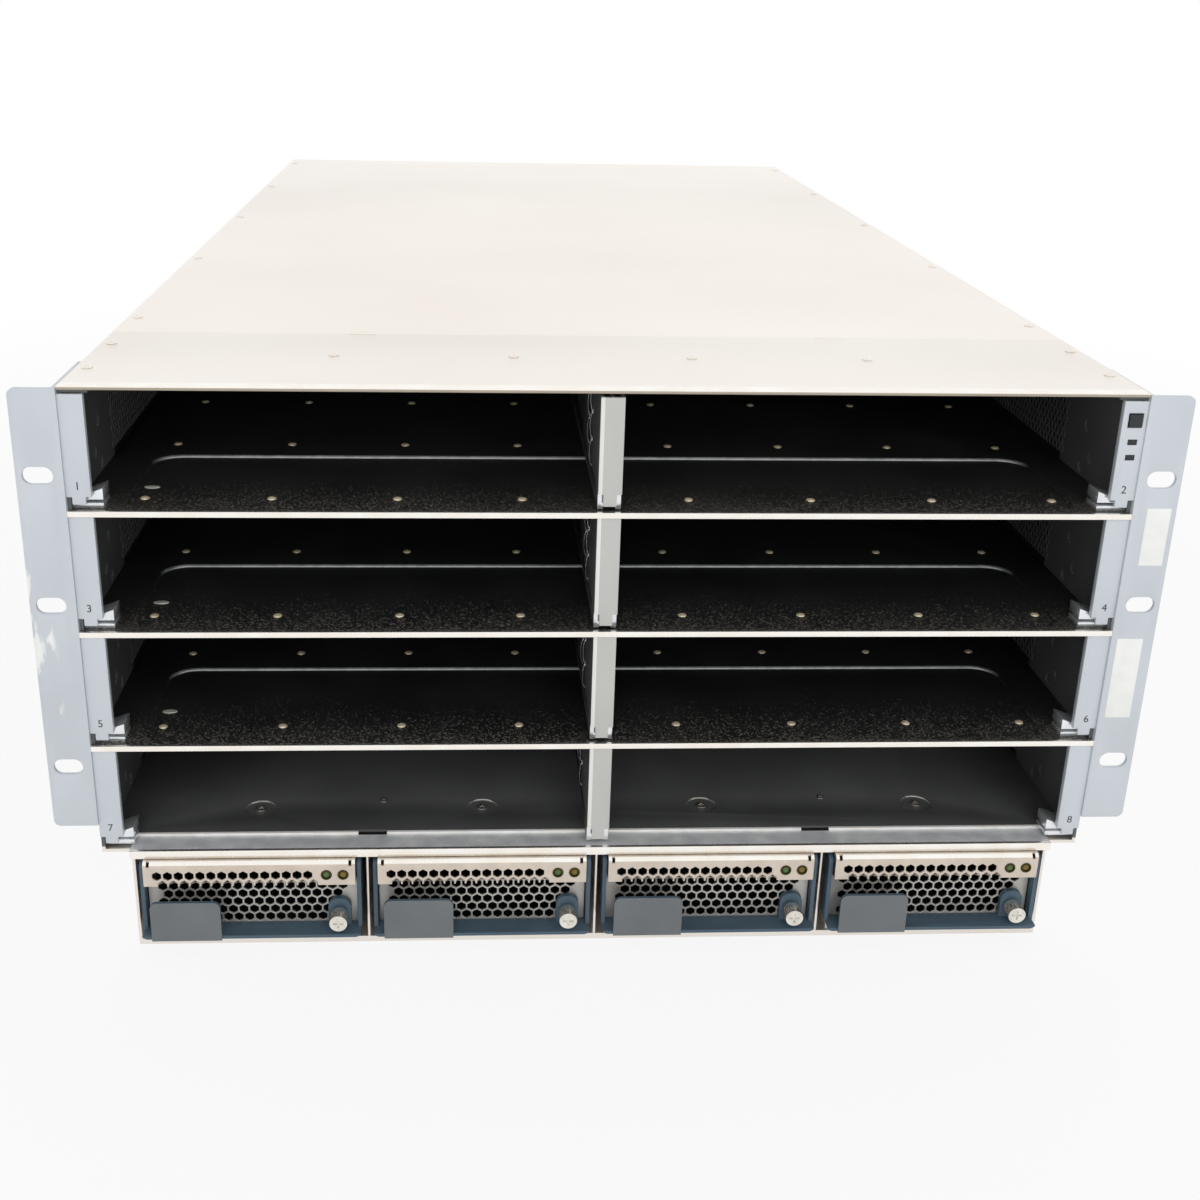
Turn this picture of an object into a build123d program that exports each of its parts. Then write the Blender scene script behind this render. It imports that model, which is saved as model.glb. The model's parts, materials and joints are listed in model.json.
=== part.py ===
from build123d import *
import os
from math import sqrt

# Blade server chassis, six rack units high, modelled in millimetres.
# X runs to the right seen from the front, Y runs back from the front plane, Z runs up from the base.
# Pieces are drawn from the front plane and saved with the origin at the middle of the base.

# Rack standard
rack_unit = 44.45
rack_units = 6
panel_relief = 0.8
rack_panel_width = 482.6
low_rack_hole = 6.35
high_rack_hole = 38.1

# Whole body
ear_reach = 19.05
body_depth = 812.8
running_gap = 0.3

# Sheet thicknesses
base_sheet = 3.0
wall_sheet = 1.5
top_sheet = 1.6
shelf_sheet = 1.2
ear_sheet = 2.0
partition_sheet = 1.2
board_sheet = 3.2
face_sheet = 1.0

# Rack ears
ear_height = 199.2
ear_top_drop = 0.9
ear_flange_depth = 45.0
ear_corner = 3.0
ear_slot_inset = 8.75
ear_slot_length = 12.5
ear_slot_width = 7.5

# Lower tier with the power supplies
tier_inset = 12.25
tier_height = 52.2
roof_lip_height = 3.9
pan_setback = 2.5
power_board_lead = 35.0

# Blade tier
side_flange = 10.5
top_slot_height = 51.0
blade_pitch = 54.1
shelf_count = 3
shelf_lip_height = 2.5
rear_bay_length = 194.6
floor_setback = 12.5
floor_notch_width = 13.0
floor_notch_depth = 2.0
floor_notch_place = 102.5
seam_place = 99.0
seam_gap = 0.4

# Embossed front field of each shelf
emboss_margin = 21.0
emboss_front = 4.0
emboss_back = 77.4
emboss_corner = 12.0

# Shallow round sinks on the inner face of the side panels, each given by its setback and lift
wall_sink = 6.0
wall_sink_depth = 0.8
wall_sink_places = ((46.0, 11.0), (54.0, 23.5), (55.0, 4.4))
round_sides = 12

# Slot posts and ejector catches
post_width = 10.2
post_setback = 1.0
post_return = 4.0
post_lift = 5.8
post_tab_width = 5.5
post_tab_lift = 2.6
catch_reach = 12.5
catch_length = 11.0
catch_height = 8.6
catch_lip = 2.2
catch_slot = 1.3
catch_web = 5.0

# Locator button and status windows on the upper right post
button_size = 5.6
button_drop = 8.6
button_proud = 0.8
button_length = 8.0
button_travel = 1.2
window_width = 4.0
window_height = 2.4
window_drops = (18.0, 24.7)

# Slot dividers
divider_width = 9.9
divider_cheek = 90.0
divider_runner_front = 12.0
divider_lift = 7.6
divider_foot_lift = 2.4
divider_foot_width = 5.5
divider_hook_width = 2.4
divider_hook_front = 4.0
divider_hook_back = 18.0
divider_back_gap = 15.0

# Power supplies
supply_face_width = 94.5
case_inset = 0.25
case_sheet = 1.0
plate_proud = 2.9
plate_height = 12.4
bevel_past_sheet = 0.5
plate_notch_width = 1.3
plate_notch_height = 2.6
plate_notch_inset = 1.6
mesh_setback = 5.0
hex_pitch = 4.8
hex_hole = 4.0
plate_hex_inset = 6.05
plate_hex_end = 21.0
plate_hex_drop = 7.1
mesh_hex_inset = 6.4
mesh_rows = 5
mesh_first_row = 10.5
lamp_insets = (12.95, 5.45)
lamp_hole = 5.0
plug_width = 50.0
plug_height = 18.0
plug_length = 10.0

# Bail handle of a power supply
arm_sheet = 1.8
arm_depth = 8.0
arm_gap = 0.45
handle_gap = 2.0
pivot_drop = 6.0
pivot_pin_radius = 2.0
pivot_pin_length = 2.6
pivot_end_wall = 2.6
pivot_play = 0.08
bail_bottom = 6.4
bail_bar_sheet = 1.6
bail_reach = 6.0
bail_corner = 3.0
tab_inset = 2.8
tab_width = 31.3
tab_height = 20.1
tab_sheet = 1.6
tab_reach = 7.4
tab_corner = 3.2
boss_inset = 7.95
boss_width = 10.3
boss_height = 15.3
boss_sheet = 2.8
boss_corner = 4.6

# Captive thumbscrew
screw_height = 7.9
screw_head_radius = 4.0
screw_head_front = 7.0
screw_neck_radius = 2.6
screw_shank_radius = 1.5
screw_play = 0.3
screw_neck_length = 1.0
knurl_count = 20
knurl_depth = 0.35
knurl_margin = 1.0

# Rear bays, fan modules and modules for input and output
io_bay_width = 50.0
module_side_gap = 0.5
fan_length = 110.0
fan_setback = 8.0
duct_wall = 2.4
guard_sheet = 2.0
guard_bar = 1.8
guard_rings = 2
fan_cap_radius = 16.0
fan_strut = 5.0
fan_shaft_radius = 2.5
fan_shaft_play = 0.08
hub_radius = 17.0
hub_length = 34.0
hub_back_gap = 3.0
blade_count = 7
blade_sheet = 2.0
blade_chord = 34.0
blade_tilt = 38.0
blade_tip_gap = 2.0
pull_width = 26.0
pull_sheet = 2.0
pull_drop = 4.0
io_setback = 6.0
port_count = 4
port_width = 14.5
port_height = 10.0
port_length = 45.0
port_pitch = 24.0
port_drop = 30.0
lever_width = 10.0
lever_length = 60.0
lever_sheet = 4.0
lever_play = 0.5
lever_lift = 14.0
lever_pin_radius = 2.0
lever_pin_length = 4.0
lever_pin_play = 0.08
lever_tip = 4.0

# Connectors on the boards
blade_plug_width = 72.0
blade_plug_height = 18.0
blade_plug_length = 12.0
blade_plug_margin = 37.6
blade_window_width = 76.0
blade_window_height = 24.0
blade_window_margin = 17.2
io_plug_width = 14.0
io_plug_height = 120.0
io_plug_length = 12.0

# Power inlets
inlet_width = 30.0
inlet_height = 24.0
inlet_length = 26.0
inlet_flange = 3.0
inlet_flange_sheet = 2.0
inlet_wall = 2.2
inlet_recess = 18.0
pin_width = 2.2
pin_height = 6.4
pin_length = 12.0
pin_spread = 7.0

# Screws and rivets
screw_head = 2.4
screw_head_height = 0.6
rivet_head = 2.0
rivet_height = 0.8
rivet_first = 35.8
rivet_pitch = 53.1
rivet_edge = 20.0
rivet_row_first = 20.5
rivet_row_pitch = 74.5
rivet_rows = 3
top_screw_places = (39.2, 117.5)
top_screw_back = 56.0
edge_screw_inset = 5.2
edge_screw_backs = (31.0, 75.0)
cover_screw_first = 30.0
cover_screw_count = 5
dimple_radius = 7.0
dimple_depth = 0.6
dimple_places = (52.2, 156.0)
dimple_back = 34.0
ear_screw_first = 30.0
ear_screw_count = 3

# Worked out sizes
body_width = rack_panel_width - 2 * ear_reach
half_width = body_width / 2
inner_half = half_width - wall_sheet
top_z = rack_units * rack_unit - panel_relief
ceiling_z = top_z - top_sheet
flange_z = ceiling_z - wall_sheet
tier_half = half_width - tier_inset
roof_under = tier_height - wall_sheet
lip_bottom = tier_height - roof_lip_height
pan_front = wall_sheet + pan_setback
floor_top = tier_height + shelf_sheet
shelf_tops = [ceiling_z - top_slot_height - n * blade_pitch for n in range(shelf_count)]
row_floors = shelf_tops + [floor_top]
row_ceilings = [flange_z] + [top - shelf_lip_height for top in shelf_tops]
panel_front = post_setback + wall_sheet
button_inset = wall_sheet + running_gap + button_size / 2
midplane_place = body_depth - rear_bay_length - board_sheet
power_board_place = midplane_place - power_board_lead
ear_top = top_z - ear_top_drop
ear_slot_heights = (
    2 * rack_unit + low_rack_hole,
    3 * rack_unit + high_rack_hole,
    5 * rack_unit + low_rack_hole,
)

bay_inside = 2 * (tier_half - wall_sheet)
least_bay = supply_face_width + 2 * (arm_gap + arm_sheet + handle_gap)
supply_count = int((bay_inside + partition_sheet) / (least_bay + partition_sheet))
bay_clear = (bay_inside - (supply_count - 1) * partition_sheet) / supply_count
bay_pitch = bay_clear + partition_sheet
bay_centres = [(n - (supply_count - 1) / 2) * bay_pitch for n in range(supply_count)]
supply_half = supply_face_width / 2
supply_bottom = base_sheet + running_gap
supply_top = lip_bottom - running_gap
plate_bottom = supply_top - plate_height
plate_hex_count = 1 + int((supply_face_width - plate_hex_inset - plate_hex_end) / hex_pitch)
mesh_hex_count = 1 + int((supply_face_width - 2 * mesh_hex_inset) / hex_pitch)
mesh_back = mesh_setback + face_sheet
supply_back = power_board_place - plug_length - running_gap
pivot_y = arm_depth / 2
pivot_z = supply_top - pivot_drop
bail_z = supply_bottom + bail_bottom
screw_z = bail_z + screw_height
arm_inside = supply_half + arm_gap
arm_outside = arm_inside + arm_sheet
tab_place = supply_half - tab_inset - tab_width / 2
boss_place = supply_half - boss_inset
boss_back = mesh_setback - running_gap

rear_front = midplane_place + board_sheet
inner_partition = io_bay_width + partition_sheet
fan_space = inner_half - inner_partition - partition_sheet / 2
fan_bay_width = (fan_space - partition_sheet) / 2
fan_bay_height = (flange_z - floor_top - partition_sheet) / 2
fan_width = fan_bay_width - 2 * module_side_gap
fan_height = fan_bay_height - 2 * running_gap
duct_radius = min(fan_width, fan_height) / 2 - duct_wall
impeller_radius = duct_radius - blade_tip_gap
fan_back = body_depth - fan_setback
fan_front = fan_back - fan_length
outer_partition = inner_partition + fan_bay_width + partition_sheet
fan_columns = (
    inner_partition + partition_sheet / 2 + fan_bay_width / 2,
    outer_partition + partition_sheet / 2 + fan_bay_width / 2,
)
fan_floors = (floor_top, floor_top + fan_bay_height + partition_sheet)
fan_centres = [
    (side * column, fan_floor + fan_bay_height / 2)
    for side in (-1, 1)
    for column in fan_columns
    for fan_floor in fan_floors
]
io_width = io_bay_width - 2 * module_side_gap
io_centres = [side * (io_bay_width + partition_sheet) / 2 for side in (-1, 1)]
io_back = body_depth - io_setback
io_front = rear_front + io_plug_length + running_gap
io_bottom = floor_top + running_gap
io_top = ceiling_z - running_gap
lever_y = io_back - lever_play - lever_sheet / 2
lever_z = io_bottom + lever_lift
rivet_columns = 1 + int((half_width - rivet_edge - rivet_first) / rivet_pitch)


def block(x_span, y_span, z_span):
    """A box between two places on each axis."""
    spans = (x_span, y_span, z_span)
    size = [high - low for low, high in spans]
    middle = [(high + low) / 2 for low, high in spans]
    return Pos(*middle) * Box(*size)


def sheet_facing_front(outline, front, thickness):
    """A flat sheet whose outline is drawn in X and Z, set behind its front face."""
    return Pos(0, front, 0) * extrude(Plane.XZ * outline, amount=-thickness)


def sheet_facing_side(outline, start, thickness):
    """A flat sheet whose outline is drawn in Y and Z, set to the right of its left face."""
    return Pos(start, 0, 0) * extrude(Plane.YZ * outline, amount=thickness)


def rod_along_y(radius, y_span, x=0, z=0):
    """A round bar along Y."""
    low, high = y_span
    return Pos(x, (low + high) / 2, z) * Rot(90, 0, 0) * Cylinder(radius, high - low)


def rod_along_x(radius, x_span, y=0, z=0):
    """A round bar along X."""
    low, high = x_span
    return Pos((low + high) / 2, y, z) * Rot(0, 90, 0) * Cylinder(radius, high - low)


def other_side(piece):
    """The same piece on the other side of the middle plane."""
    return mirror(piece, about=Plane.YZ)


def save(node, *pieces):
    """Writes one node, moved so that the origin is at the middle of the base."""
    solids = [solid for piece in pieces for solid in piece.solids()]
    placed = [Pos(0, -body_depth / 2, 0) * solid for solid in solids]
    shape = placed[0] if len(placed) == 1 else Compound(children=placed)
    export_step(shape, f"parts/{node}.step")


def hexagon(across):
    """A hexagon standing on a corner, measured across its flats."""
    return RegularPolygon(across / sqrt(3), 6, rotation=30)


def staggered_holes(columns, rows, pitch, across):
    """Hexagons of a staggered field, from its lower left one, with one less in odd rows."""
    outlines = []
    for row in range(rows):
        shift = pitch / 2 * (row % 2)
        for column in range(columns - row % 2):
            place = Pos(column * pitch + shift, row * pitch * sqrt(3) / 2)
            outlines.append(place * hexagon(across))
    return outlines


def base_pan():
    """Floor of the chassis with the outer walls of the lower tier folded up, set back from the lip."""
    depth = (pan_front, body_depth)
    floor = block((-tier_half, tier_half), depth, (0, base_sheet))
    wall = block((tier_half - wall_sheet, tier_half), depth, (0, roof_under))
    return floor + wall + other_side(wall)


def bay_dividers():
    """Thin upright sheets between the power supplies."""
    places = [(n - supply_count / 2) * bay_pitch for n in range(1, supply_count)]
    half = partition_sheet / 2
    return [
        block((x - half, x + half), (pan_front, power_board_place), (base_sheet, roof_under))
        for x in places
    ]


def bay_roof():
    """Sheet over the power supplies, with a lip folded down at the front."""
    sheet = block((-tier_half, tier_half), (0, body_depth), (roof_under, tier_height))
    lip = block((-tier_half, tier_half), (0, wall_sheet), (lip_bottom, tier_height))
    return sheet + lip


def side_panel():
    """Right wall of the blade tier, a C of sheet with shallow sinks beside each slot."""
    depth = (panel_front, body_depth)
    wall = block((inner_half, half_width), depth, (roof_under, ceiling_z))
    foot = block((tier_half, half_width), depth, (roof_under, tier_height))
    head = block((inner_half - side_flange, half_width), depth, (flange_z, ceiling_z))
    sink = RegularPolygon(wall_sink / 2, round_sides)
    sinks = [
        sheet_facing_side(Pos(back, low + lift) * sink, inner_half, wall_sink_depth)
        for low in row_floors
        for back, lift in wall_sink_places
    ]
    return wall + foot + head - sinks


def rack_ear():
    """Right rack ear, an angle with three slotted holes."""
    low = ear_top - ear_height
    middle = Pos(half_width + ear_reach / 2, low + ear_height / 2)
    plate = middle * Rectangle(ear_reach, ear_height)
    plate = fillet(plate.vertices().sort_by(Axis.X)[-2:], ear_corner)
    slot_x = rack_panel_width / 2 - ear_slot_inset
    slots = [Pos(slot_x, z) * SlotOverall(ear_slot_length, ear_slot_width) for z in ear_slot_heights]
    face = sheet_facing_front(plate - slots, 0, ear_sheet)
    flange = block((half_width, half_width + ear_sheet), (0, ear_flange_depth), (low, ear_top))
    return face + flange


def blade_shelf(top):
    """Full-width shelf with a folded front lip and a front field pressed one sheet deep."""
    front = block((-half_width, half_width), (0, panel_front), (top - shelf_sheet, top))
    lip = block((-half_width, half_width), (0, shelf_sheet), (top - shelf_lip_height, top))
    plate = block((-inner_half, inner_half), (0, midplane_place), (top - shelf_sheet, top))
    width = 2 * (half_width - emboss_margin)
    length = emboss_back - emboss_front
    place = Pos(0, emboss_front + length / 2, top - shelf_sheet)
    opening = place * extrude(RectangleRounded(width, length, emboss_corner), amount=shelf_sheet)
    rim = 2 * shelf_sheet
    pressed = RectangleRounded(width + rim, length + rim, emboss_corner + shelf_sheet)
    pan = place * extrude(pressed, amount=-shelf_sheet)
    return front + lip + plate - opening + pan


def blade_floor():
    """Lowest blade floor, over the roof of the power supplies, with dished screw places."""
    sheet = block((-inner_half, inner_half), (floor_setback, body_depth), (tier_height, floor_top))
    notch_end = floor_setback + floor_notch_depth
    for side in (-1, 1):
        middle = side * floor_notch_place
        span = (middle - floor_notch_width / 2, middle + floor_notch_width / 2)
        sheet -= block(span, (floor_setback, notch_end), (tier_height, floor_top))
        for place in dimple_places:
            dish = Cylinder(dimple_radius, 2 * dimple_depth)
            sheet -= Pos(side * place, dimple_back, floor_top) * dish
    return sheet


def slot_post(row):
    """Right front post of one slot row, an angle with a narrow tab at its foot."""
    low = row_floors[row] + post_lift
    high = row_ceilings[row] - running_gap
    inside = half_width - post_width
    face = block((inside, half_width), (post_setback, panel_front), (low, high))
    back = block((inside, inside + wall_sheet), (post_setback, post_return), (low, high))
    middle = half_width - post_width / 2
    tab_span = (middle - post_tab_width / 2, middle + post_tab_width / 2)
    tab = block(tab_span, (post_setback, panel_front), (row_floors[row] + post_tab_lift, low))
    return face + back + tab


def ejector_catch(row):
    """Right catch of one slot row, which the ejector of a blade grips."""
    inner = inner_half - catch_reach
    arm = catch_lip + catch_slot
    outline = Polyline(
        (inner_half, 0),
        (inner, 0),
        (inner, catch_lip),
        (inner_half - catch_web, catch_lip),
        (inner_half - catch_web, arm),
        (inner, arm),
        (inner, catch_height),
        (inner_half - catch_web, arm + catch_lip),
        (inner_half, arm + catch_lip),
        close=True,
    )
    profile = Pos(0, row_floors[row]) * make_face(outline)
    return sheet_facing_front(profile, post_return + 2 * running_gap, catch_length)


def slot_divider(row):
    """Removable upright sheet between two blade slots, with a box post folded at its front."""
    low = row_floors[row] + running_gap
    high = row_ceilings[row] - running_gap
    post_low = row_floors[row] + divider_lift
    half = divider_width / 2
    face = block((-half, half), (post_setback, panel_front), (post_low, high))
    cheek = block((half - wall_sheet, half), (post_setback, divider_cheek), (post_low, high))
    foot_half = divider_foot_width / 2
    foot_low = row_floors[row] + divider_foot_lift
    foot = block((-foot_half, foot_half), (post_setback, panel_front), (foot_low, post_low))
    wall_back = midplane_place - divider_back_gap
    wall = block((-wall_sheet / 2, wall_sheet / 2), (post_setback, wall_back), (foot_low, high))
    runner_span = (divider_runner_front, wall_back)
    runner = block((-half, half), runner_span, (low, low + wall_sheet))
    stem = block((-wall_sheet / 2, wall_sheet / 2), runner_span, (low, high))
    hook_span = (divider_hook_front, divider_hook_back)
    hook = block((half - divider_hook_width, half), hook_span, (low, post_low))
    return face + cheek + other_side(cheek) + foot + wall + runner + stem + hook + other_side(hook)


def locator_button():
    """Square push button in the upper right post."""
    x = half_width - button_inset
    z = row_ceilings[0] - button_drop
    half = button_size / 2
    front = post_setback - button_proud
    return block((x - half, x + half), (front, front + button_length), (z - half, z + half))


def button_hole():
    """Room for the button in the post, with a running gap all round."""
    x = half_width - button_inset
    z = row_ceilings[0] - button_drop
    half = button_size / 2 + running_gap
    return block((x - half, x + half), (0, panel_front), (z - half, z + half))


def window_cuts():
    """Two shallow status windows below the button."""
    x = half_width - button_inset
    span = (x - window_width / 2, x + window_width / 2)
    depth = (post_setback, post_setback + wall_sheet / 2)
    heights = [row_ceilings[0] - drop for drop in window_drops]
    return [block(span, depth, (z - window_height / 2, z + window_height / 2)) for z in heights]


def midplane():
    """Upright board behind the blades with air windows, its plugs, and the power board below."""
    half = inner_half - running_gap
    board = block((-half, half), (midplane_place, rear_front), (floor_top, flange_z))
    plugs = []
    for low, high in zip(row_floors, row_ceilings):
        middle = (low + high) / 2
        air = (middle - blade_window_height / 2, middle + blade_window_height / 2)
        for side in (-1, 1):
            window_x = side * (inner_half - blade_window_margin - blade_window_width / 2)
            span = (window_x - blade_window_width / 2, window_x + blade_window_width / 2)
            board -= block(span, (midplane_place, rear_front), air)
            plug_x = side * (blade_plug_margin + blade_plug_width / 2)
            plug_span = (plug_x - blade_plug_width / 2, plug_x + blade_plug_width / 2)
            plug_z = (middle - blade_plug_height / 2, middle + blade_plug_height / 2)
            plugs.append(block(plug_span, (midplane_place - blade_plug_length, midplane_place), plug_z))
    io_middle = (io_bottom + io_top) / 2
    io_z = (io_middle - io_plug_height / 2, io_middle + io_plug_height / 2)
    for x in io_centres:
        io_span = (x - io_plug_width / 2, x + io_plug_width / 2)
        plugs.append(block(io_span, (rear_front, rear_front + io_plug_length), io_z))
    power_half = tier_half - wall_sheet - running_gap
    power_y = (power_board_place, power_board_place + board_sheet)
    power_board = block((-power_half, power_half), power_y, (base_sheet, roof_under))
    supply_middle = (supply_bottom + supply_top) / 2
    supply_z = (supply_middle - plug_height / 2, supply_middle + plug_height / 2)
    for x in bay_centres:
        span = (x - plug_width / 2, x + plug_width / 2)
        plugs.append(block(span, (power_board_place - plug_length, power_board_place), supply_z))
    return [board, power_board] + plugs


def supply_case():
    """Sheet box of one power supply, open at the front, with the pivot holes of its handle."""
    half = supply_half - case_inset
    box = block((-half, half), (mesh_back, supply_back), (supply_bottom, supply_top))
    inside_x = (case_sheet - half, half - case_sheet)
    inside_z = (supply_bottom + case_sheet, supply_top - case_sheet)
    box -= block(inside_x, (mesh_back, supply_back - case_sheet), inside_z)
    cheek_y = (0, mesh_back + pivot_pin_length)
    cheek_z = (plate_bottom + face_sheet, supply_top - face_sheet - running_gap)
    cheek = block((half - pivot_pin_length - pivot_end_wall, half), cheek_y, cheek_z)
    cheek -= rod_along_x(pivot_pin_radius + pivot_play, (0, arm_outside), pivot_y, pivot_z)
    return box + cheek + other_side(cheek)


def supply_face():
    """Perforated front of one power supply: an upper plate in front and a mesh set back below."""
    half = supply_half
    front = -plate_proud
    plate = Pos(0, plate_bottom + plate_height / 2) * Rectangle(supply_face_width, plate_height)
    row_z = supply_top - plate_hex_drop
    row_x = [plate_hex_inset - half + n * hex_pitch for n in range(plate_hex_count)]
    upper_row = [Pos(x, row_z) * hexagon(hex_hole) for x in row_x]
    lamps = [Pos(half - inset, row_z) * RegularPolygon(lamp_hole / 2, round_sides) for inset in lamp_insets]
    top_plate = sheet_facing_front(plate - upper_row - lamps, front, face_sheet)
    top_plate += block((-half, half), (front, mesh_back), (supply_top - face_sheet, supply_top))
    bevel_edge = top_plate.edges().group_by(Axis.Z)[-1].sort_by(Axis.Y)[0]
    top_plate = chamfer(bevel_edge, face_sheet + bevel_past_sheet)
    notch_low = half - plate_notch_inset - plate_notch_width
    notch_z = (supply_top - plate_notch_height, supply_top)
    notch = block((notch_low, notch_low + plate_notch_width), (front, front + 2 * face_sheet), notch_z)
    top_plate = top_plate - notch - other_side(notch)
    step = block((-half, half), (front, mesh_back), (plate_bottom, plate_bottom + face_sheet))
    mesh_height = plate_bottom + face_sheet - supply_bottom
    mesh_panel = Pos(0, supply_bottom + mesh_height / 2) * Rectangle(supply_face_width, mesh_height)
    field = staggered_holes(mesh_hex_count, mesh_rows, hex_pitch, hex_hole)
    corner = Pos(-(mesh_hex_count - 1) * hex_pitch / 2, supply_bottom + mesh_first_row)
    mesh = sheet_facing_front(mesh_panel - [corner * hole for hole in field], mesh_setback, face_sheet)
    prism = extrude(hexagon(hex_hole), amount=hex_pitch, both=True)
    bend = [Pos(x + hex_pitch / 2, front, plate_bottom) * Rot(45, 0, 0) * prism for x in row_x]
    return top_plate + step + mesh - bend


def bail_handle():
    """Plastic bail round one power supply: two arms, a bottom bar, a grab tab and a screw boss."""
    bar = block((-arm_outside, arm_outside), (-bail_reach, boss_back), (bail_z, bail_z + bail_bar_sheet))
    arm_edge = (bail_z, pivot_z)
    arm = block((arm_inside, arm_outside), (0, arm_depth), arm_edge)
    arm += rod_along_x(arm_depth / 2, (arm_inside, arm_outside), pivot_y, pivot_z)
    arm += rod_along_x(pivot_pin_radius, (arm_inside - pivot_pin_length, arm_inside), pivot_y, pivot_z)
    tab_outline = Rectangle(tab_width, tab_height)
    tab_outline = fillet(tab_outline.vertices().group_by(Axis.Y)[-1], tab_corner)
    tab_outline = Pos(-tab_place, bail_z + tab_height / 2) * tab_outline
    tab = sheet_facing_front(tab_outline, -tab_reach, tab_sheet)
    boss_outline = Pos(boss_place, bail_z + boss_height / 2) * Rectangle(boss_width, boss_height)
    round_corner = min(boss_corner, boss_width / 2 - running_gap)
    boss_outline = fillet(boss_outline.vertices().group_by(Axis.Y)[-1], round_corner)
    boss_front = boss_back - boss_sheet
    boss = sheet_facing_front(boss_outline, boss_front, boss_sheet)
    boss -= rod_along_y(screw_shank_radius + screw_play, (boss_front, boss_back), boss_place, screw_z)
    bail = bar + arm + other_side(arm) + tab + boss
    corners = bail.edges().filter_by(Axis.Y).group_by(Axis.Z)[0]
    outer = corners.sort_by(Axis.X)
    return fillet([outer[0], outer[-1]], bail_corner)


def thumbscrew():
    """Captive screw with a knurled head, held in the boss of the handle."""
    neck_back = boss_back - boss_sheet - running_gap
    head_back = neck_back - screw_neck_length
    head = rod_along_y(screw_head_radius, (-screw_head_front, head_back))
    groove_y = (knurl_margin - screw_head_front, head_back)
    groove_z = (screw_head_radius - knurl_depth, screw_head_radius + knurl_depth)
    groove = block((-knurl_depth, knurl_depth), groove_y, groove_z)
    for n in range(knurl_count):
        head -= Rot(0, n * 360 / knurl_count, 0) * groove
    neck = rod_along_y(screw_neck_radius, (head_back, neck_back))
    shank = rod_along_y(screw_shank_radius, (head_back, boss_back))
    return Pos(boss_place, 0, screw_z) * (head + neck + shank)


def rear_bay_frame():
    """Upright partitions and fan shelves between midplane and rear."""
    depth = (rear_front, body_depth)
    half = partition_sheet / 2
    places = (-outer_partition, -inner_partition, 0, inner_partition, outer_partition)
    walls = [block((x - half, x + half), depth, (floor_top, ceiling_z)) for x in places]
    shelf_z = (floor_top + fan_bay_height, floor_top + fan_bay_height + partition_sheet)
    shelves = []
    for x in fan_columns:
        shelf = block((x - fan_bay_width / 2, x + fan_bay_width / 2), depth, shelf_z)
        shelves += [shelf, other_side(shelf)]
    return walls + shelves


def fan_module():
    """Fan housing with a round duct, a rear guard, a motor mount with its shaft, and a pull tab."""
    half_x = fan_width / 2
    half_z = fan_height / 2
    box = block((-half_x, half_x), (fan_front, fan_back), (-half_z, half_z))
    housing = box - rod_along_y(duct_radius, (fan_front, fan_back))
    guard_y = (fan_back - guard_sheet, fan_back)
    cap = rod_along_y(fan_cap_radius, guard_y)
    spacing = (duct_radius - fan_cap_radius) / (guard_rings + 1)
    for n in range(1, guard_rings + 1):
        radius = fan_cap_radius + n * spacing
        ring = rod_along_y(radius + guard_bar / 2, guard_y) - rod_along_y(radius - guard_bar / 2, guard_y)
        cap += ring
    bar = duct_radius + duct_wall / 2
    spoke = block((-guard_bar / 2, guard_bar / 2), guard_y, (-bar, bar))
    guard = cap + spoke + Rot(0, 90, 0) * spoke
    mount_y = (fan_front, fan_front + fan_strut)
    mount = rod_along_y(fan_cap_radius, mount_y)
    strut = block((-fan_strut / 2, fan_strut / 2), mount_y, (-bar, bar))
    mount += strut + Rot(0, 90, 0) * strut
    shaft_back = fan_back - guard_sheet
    mount += rod_along_y(fan_shaft_radius, (fan_front, shaft_back))
    pull_z = (pull_drop - half_z, pull_drop + pull_sheet - half_z)
    pull = block((-pull_width / 2, pull_width / 2), (fan_back, fan_back + fan_setback), pull_z)
    return housing + guard + mount + pull


def impeller():
    """Hub and tilted blades that turn on the shaft of the motor mount."""
    start = fan_front + fan_strut + hub_back_gap
    span = (start, start + hub_length)
    wheel = rod_along_y(hub_radius, span)
    blade = Box(blade_sheet, blade_chord, impeller_radius)
    blade = Pos(0, start + hub_length / 2, impeller_radius / 2 + blade_sheet) * Rot(0, 0, blade_tilt) * blade
    trim = rod_along_y(impeller_radius, span)
    for n in range(blade_count):
        wheel += trim & (Rot(0, n * 360 / blade_count, 0) * blade)
    return wheel - rod_along_y(fan_shaft_radius + fan_shaft_play, span)


def io_module():
    """Module for input and output with a column of ports and a bay for its ejector lever."""
    half = io_width / 2
    box = block((-half, half), (io_front, io_back), (io_bottom, io_top))
    for n in range(port_count):
        z = io_top - port_drop - n * port_pitch
        port_x = (-port_width / 2, port_width / 2)
        port_z = (z - port_height / 2, z + port_height / 2)
        box -= block(port_x, (io_back - port_length, io_back), port_z)
    room = lever_width / 2 + lever_play
    room_low = lever_z - lever_sheet / 2 - 2 * lever_play
    room_high = lever_z + lever_length + 2 * lever_play
    room_front = io_back - lever_sheet - 3 * lever_play
    box -= block((-room, room), (room_front, io_back), (room_low, room_high))
    reach = lever_width / 2 + lever_pin_length + lever_play
    return box - rod_along_x(lever_pin_radius + lever_pin_play, (-reach, reach), lever_y, lever_z)


def io_lever():
    """Ejector lever on a cross pin, with a finger tip at its free end."""
    half = lever_width / 2
    thick = (lever_y - lever_sheet / 2, lever_y + lever_sheet / 2)
    bar = block((-half, half), thick, (lever_z, lever_z + lever_length))
    bar += rod_along_x(lever_sheet / 2, (-half, half), lever_y, lever_z)
    tip_z = (lever_z + lever_length - lever_tip, lever_z + lever_length)
    bar += block((-half, half), (lever_y, body_depth), tip_z)
    reach = half + lever_pin_length
    return bar + rod_along_x(lever_pin_radius, (-reach, reach), lever_y, lever_z)


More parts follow.
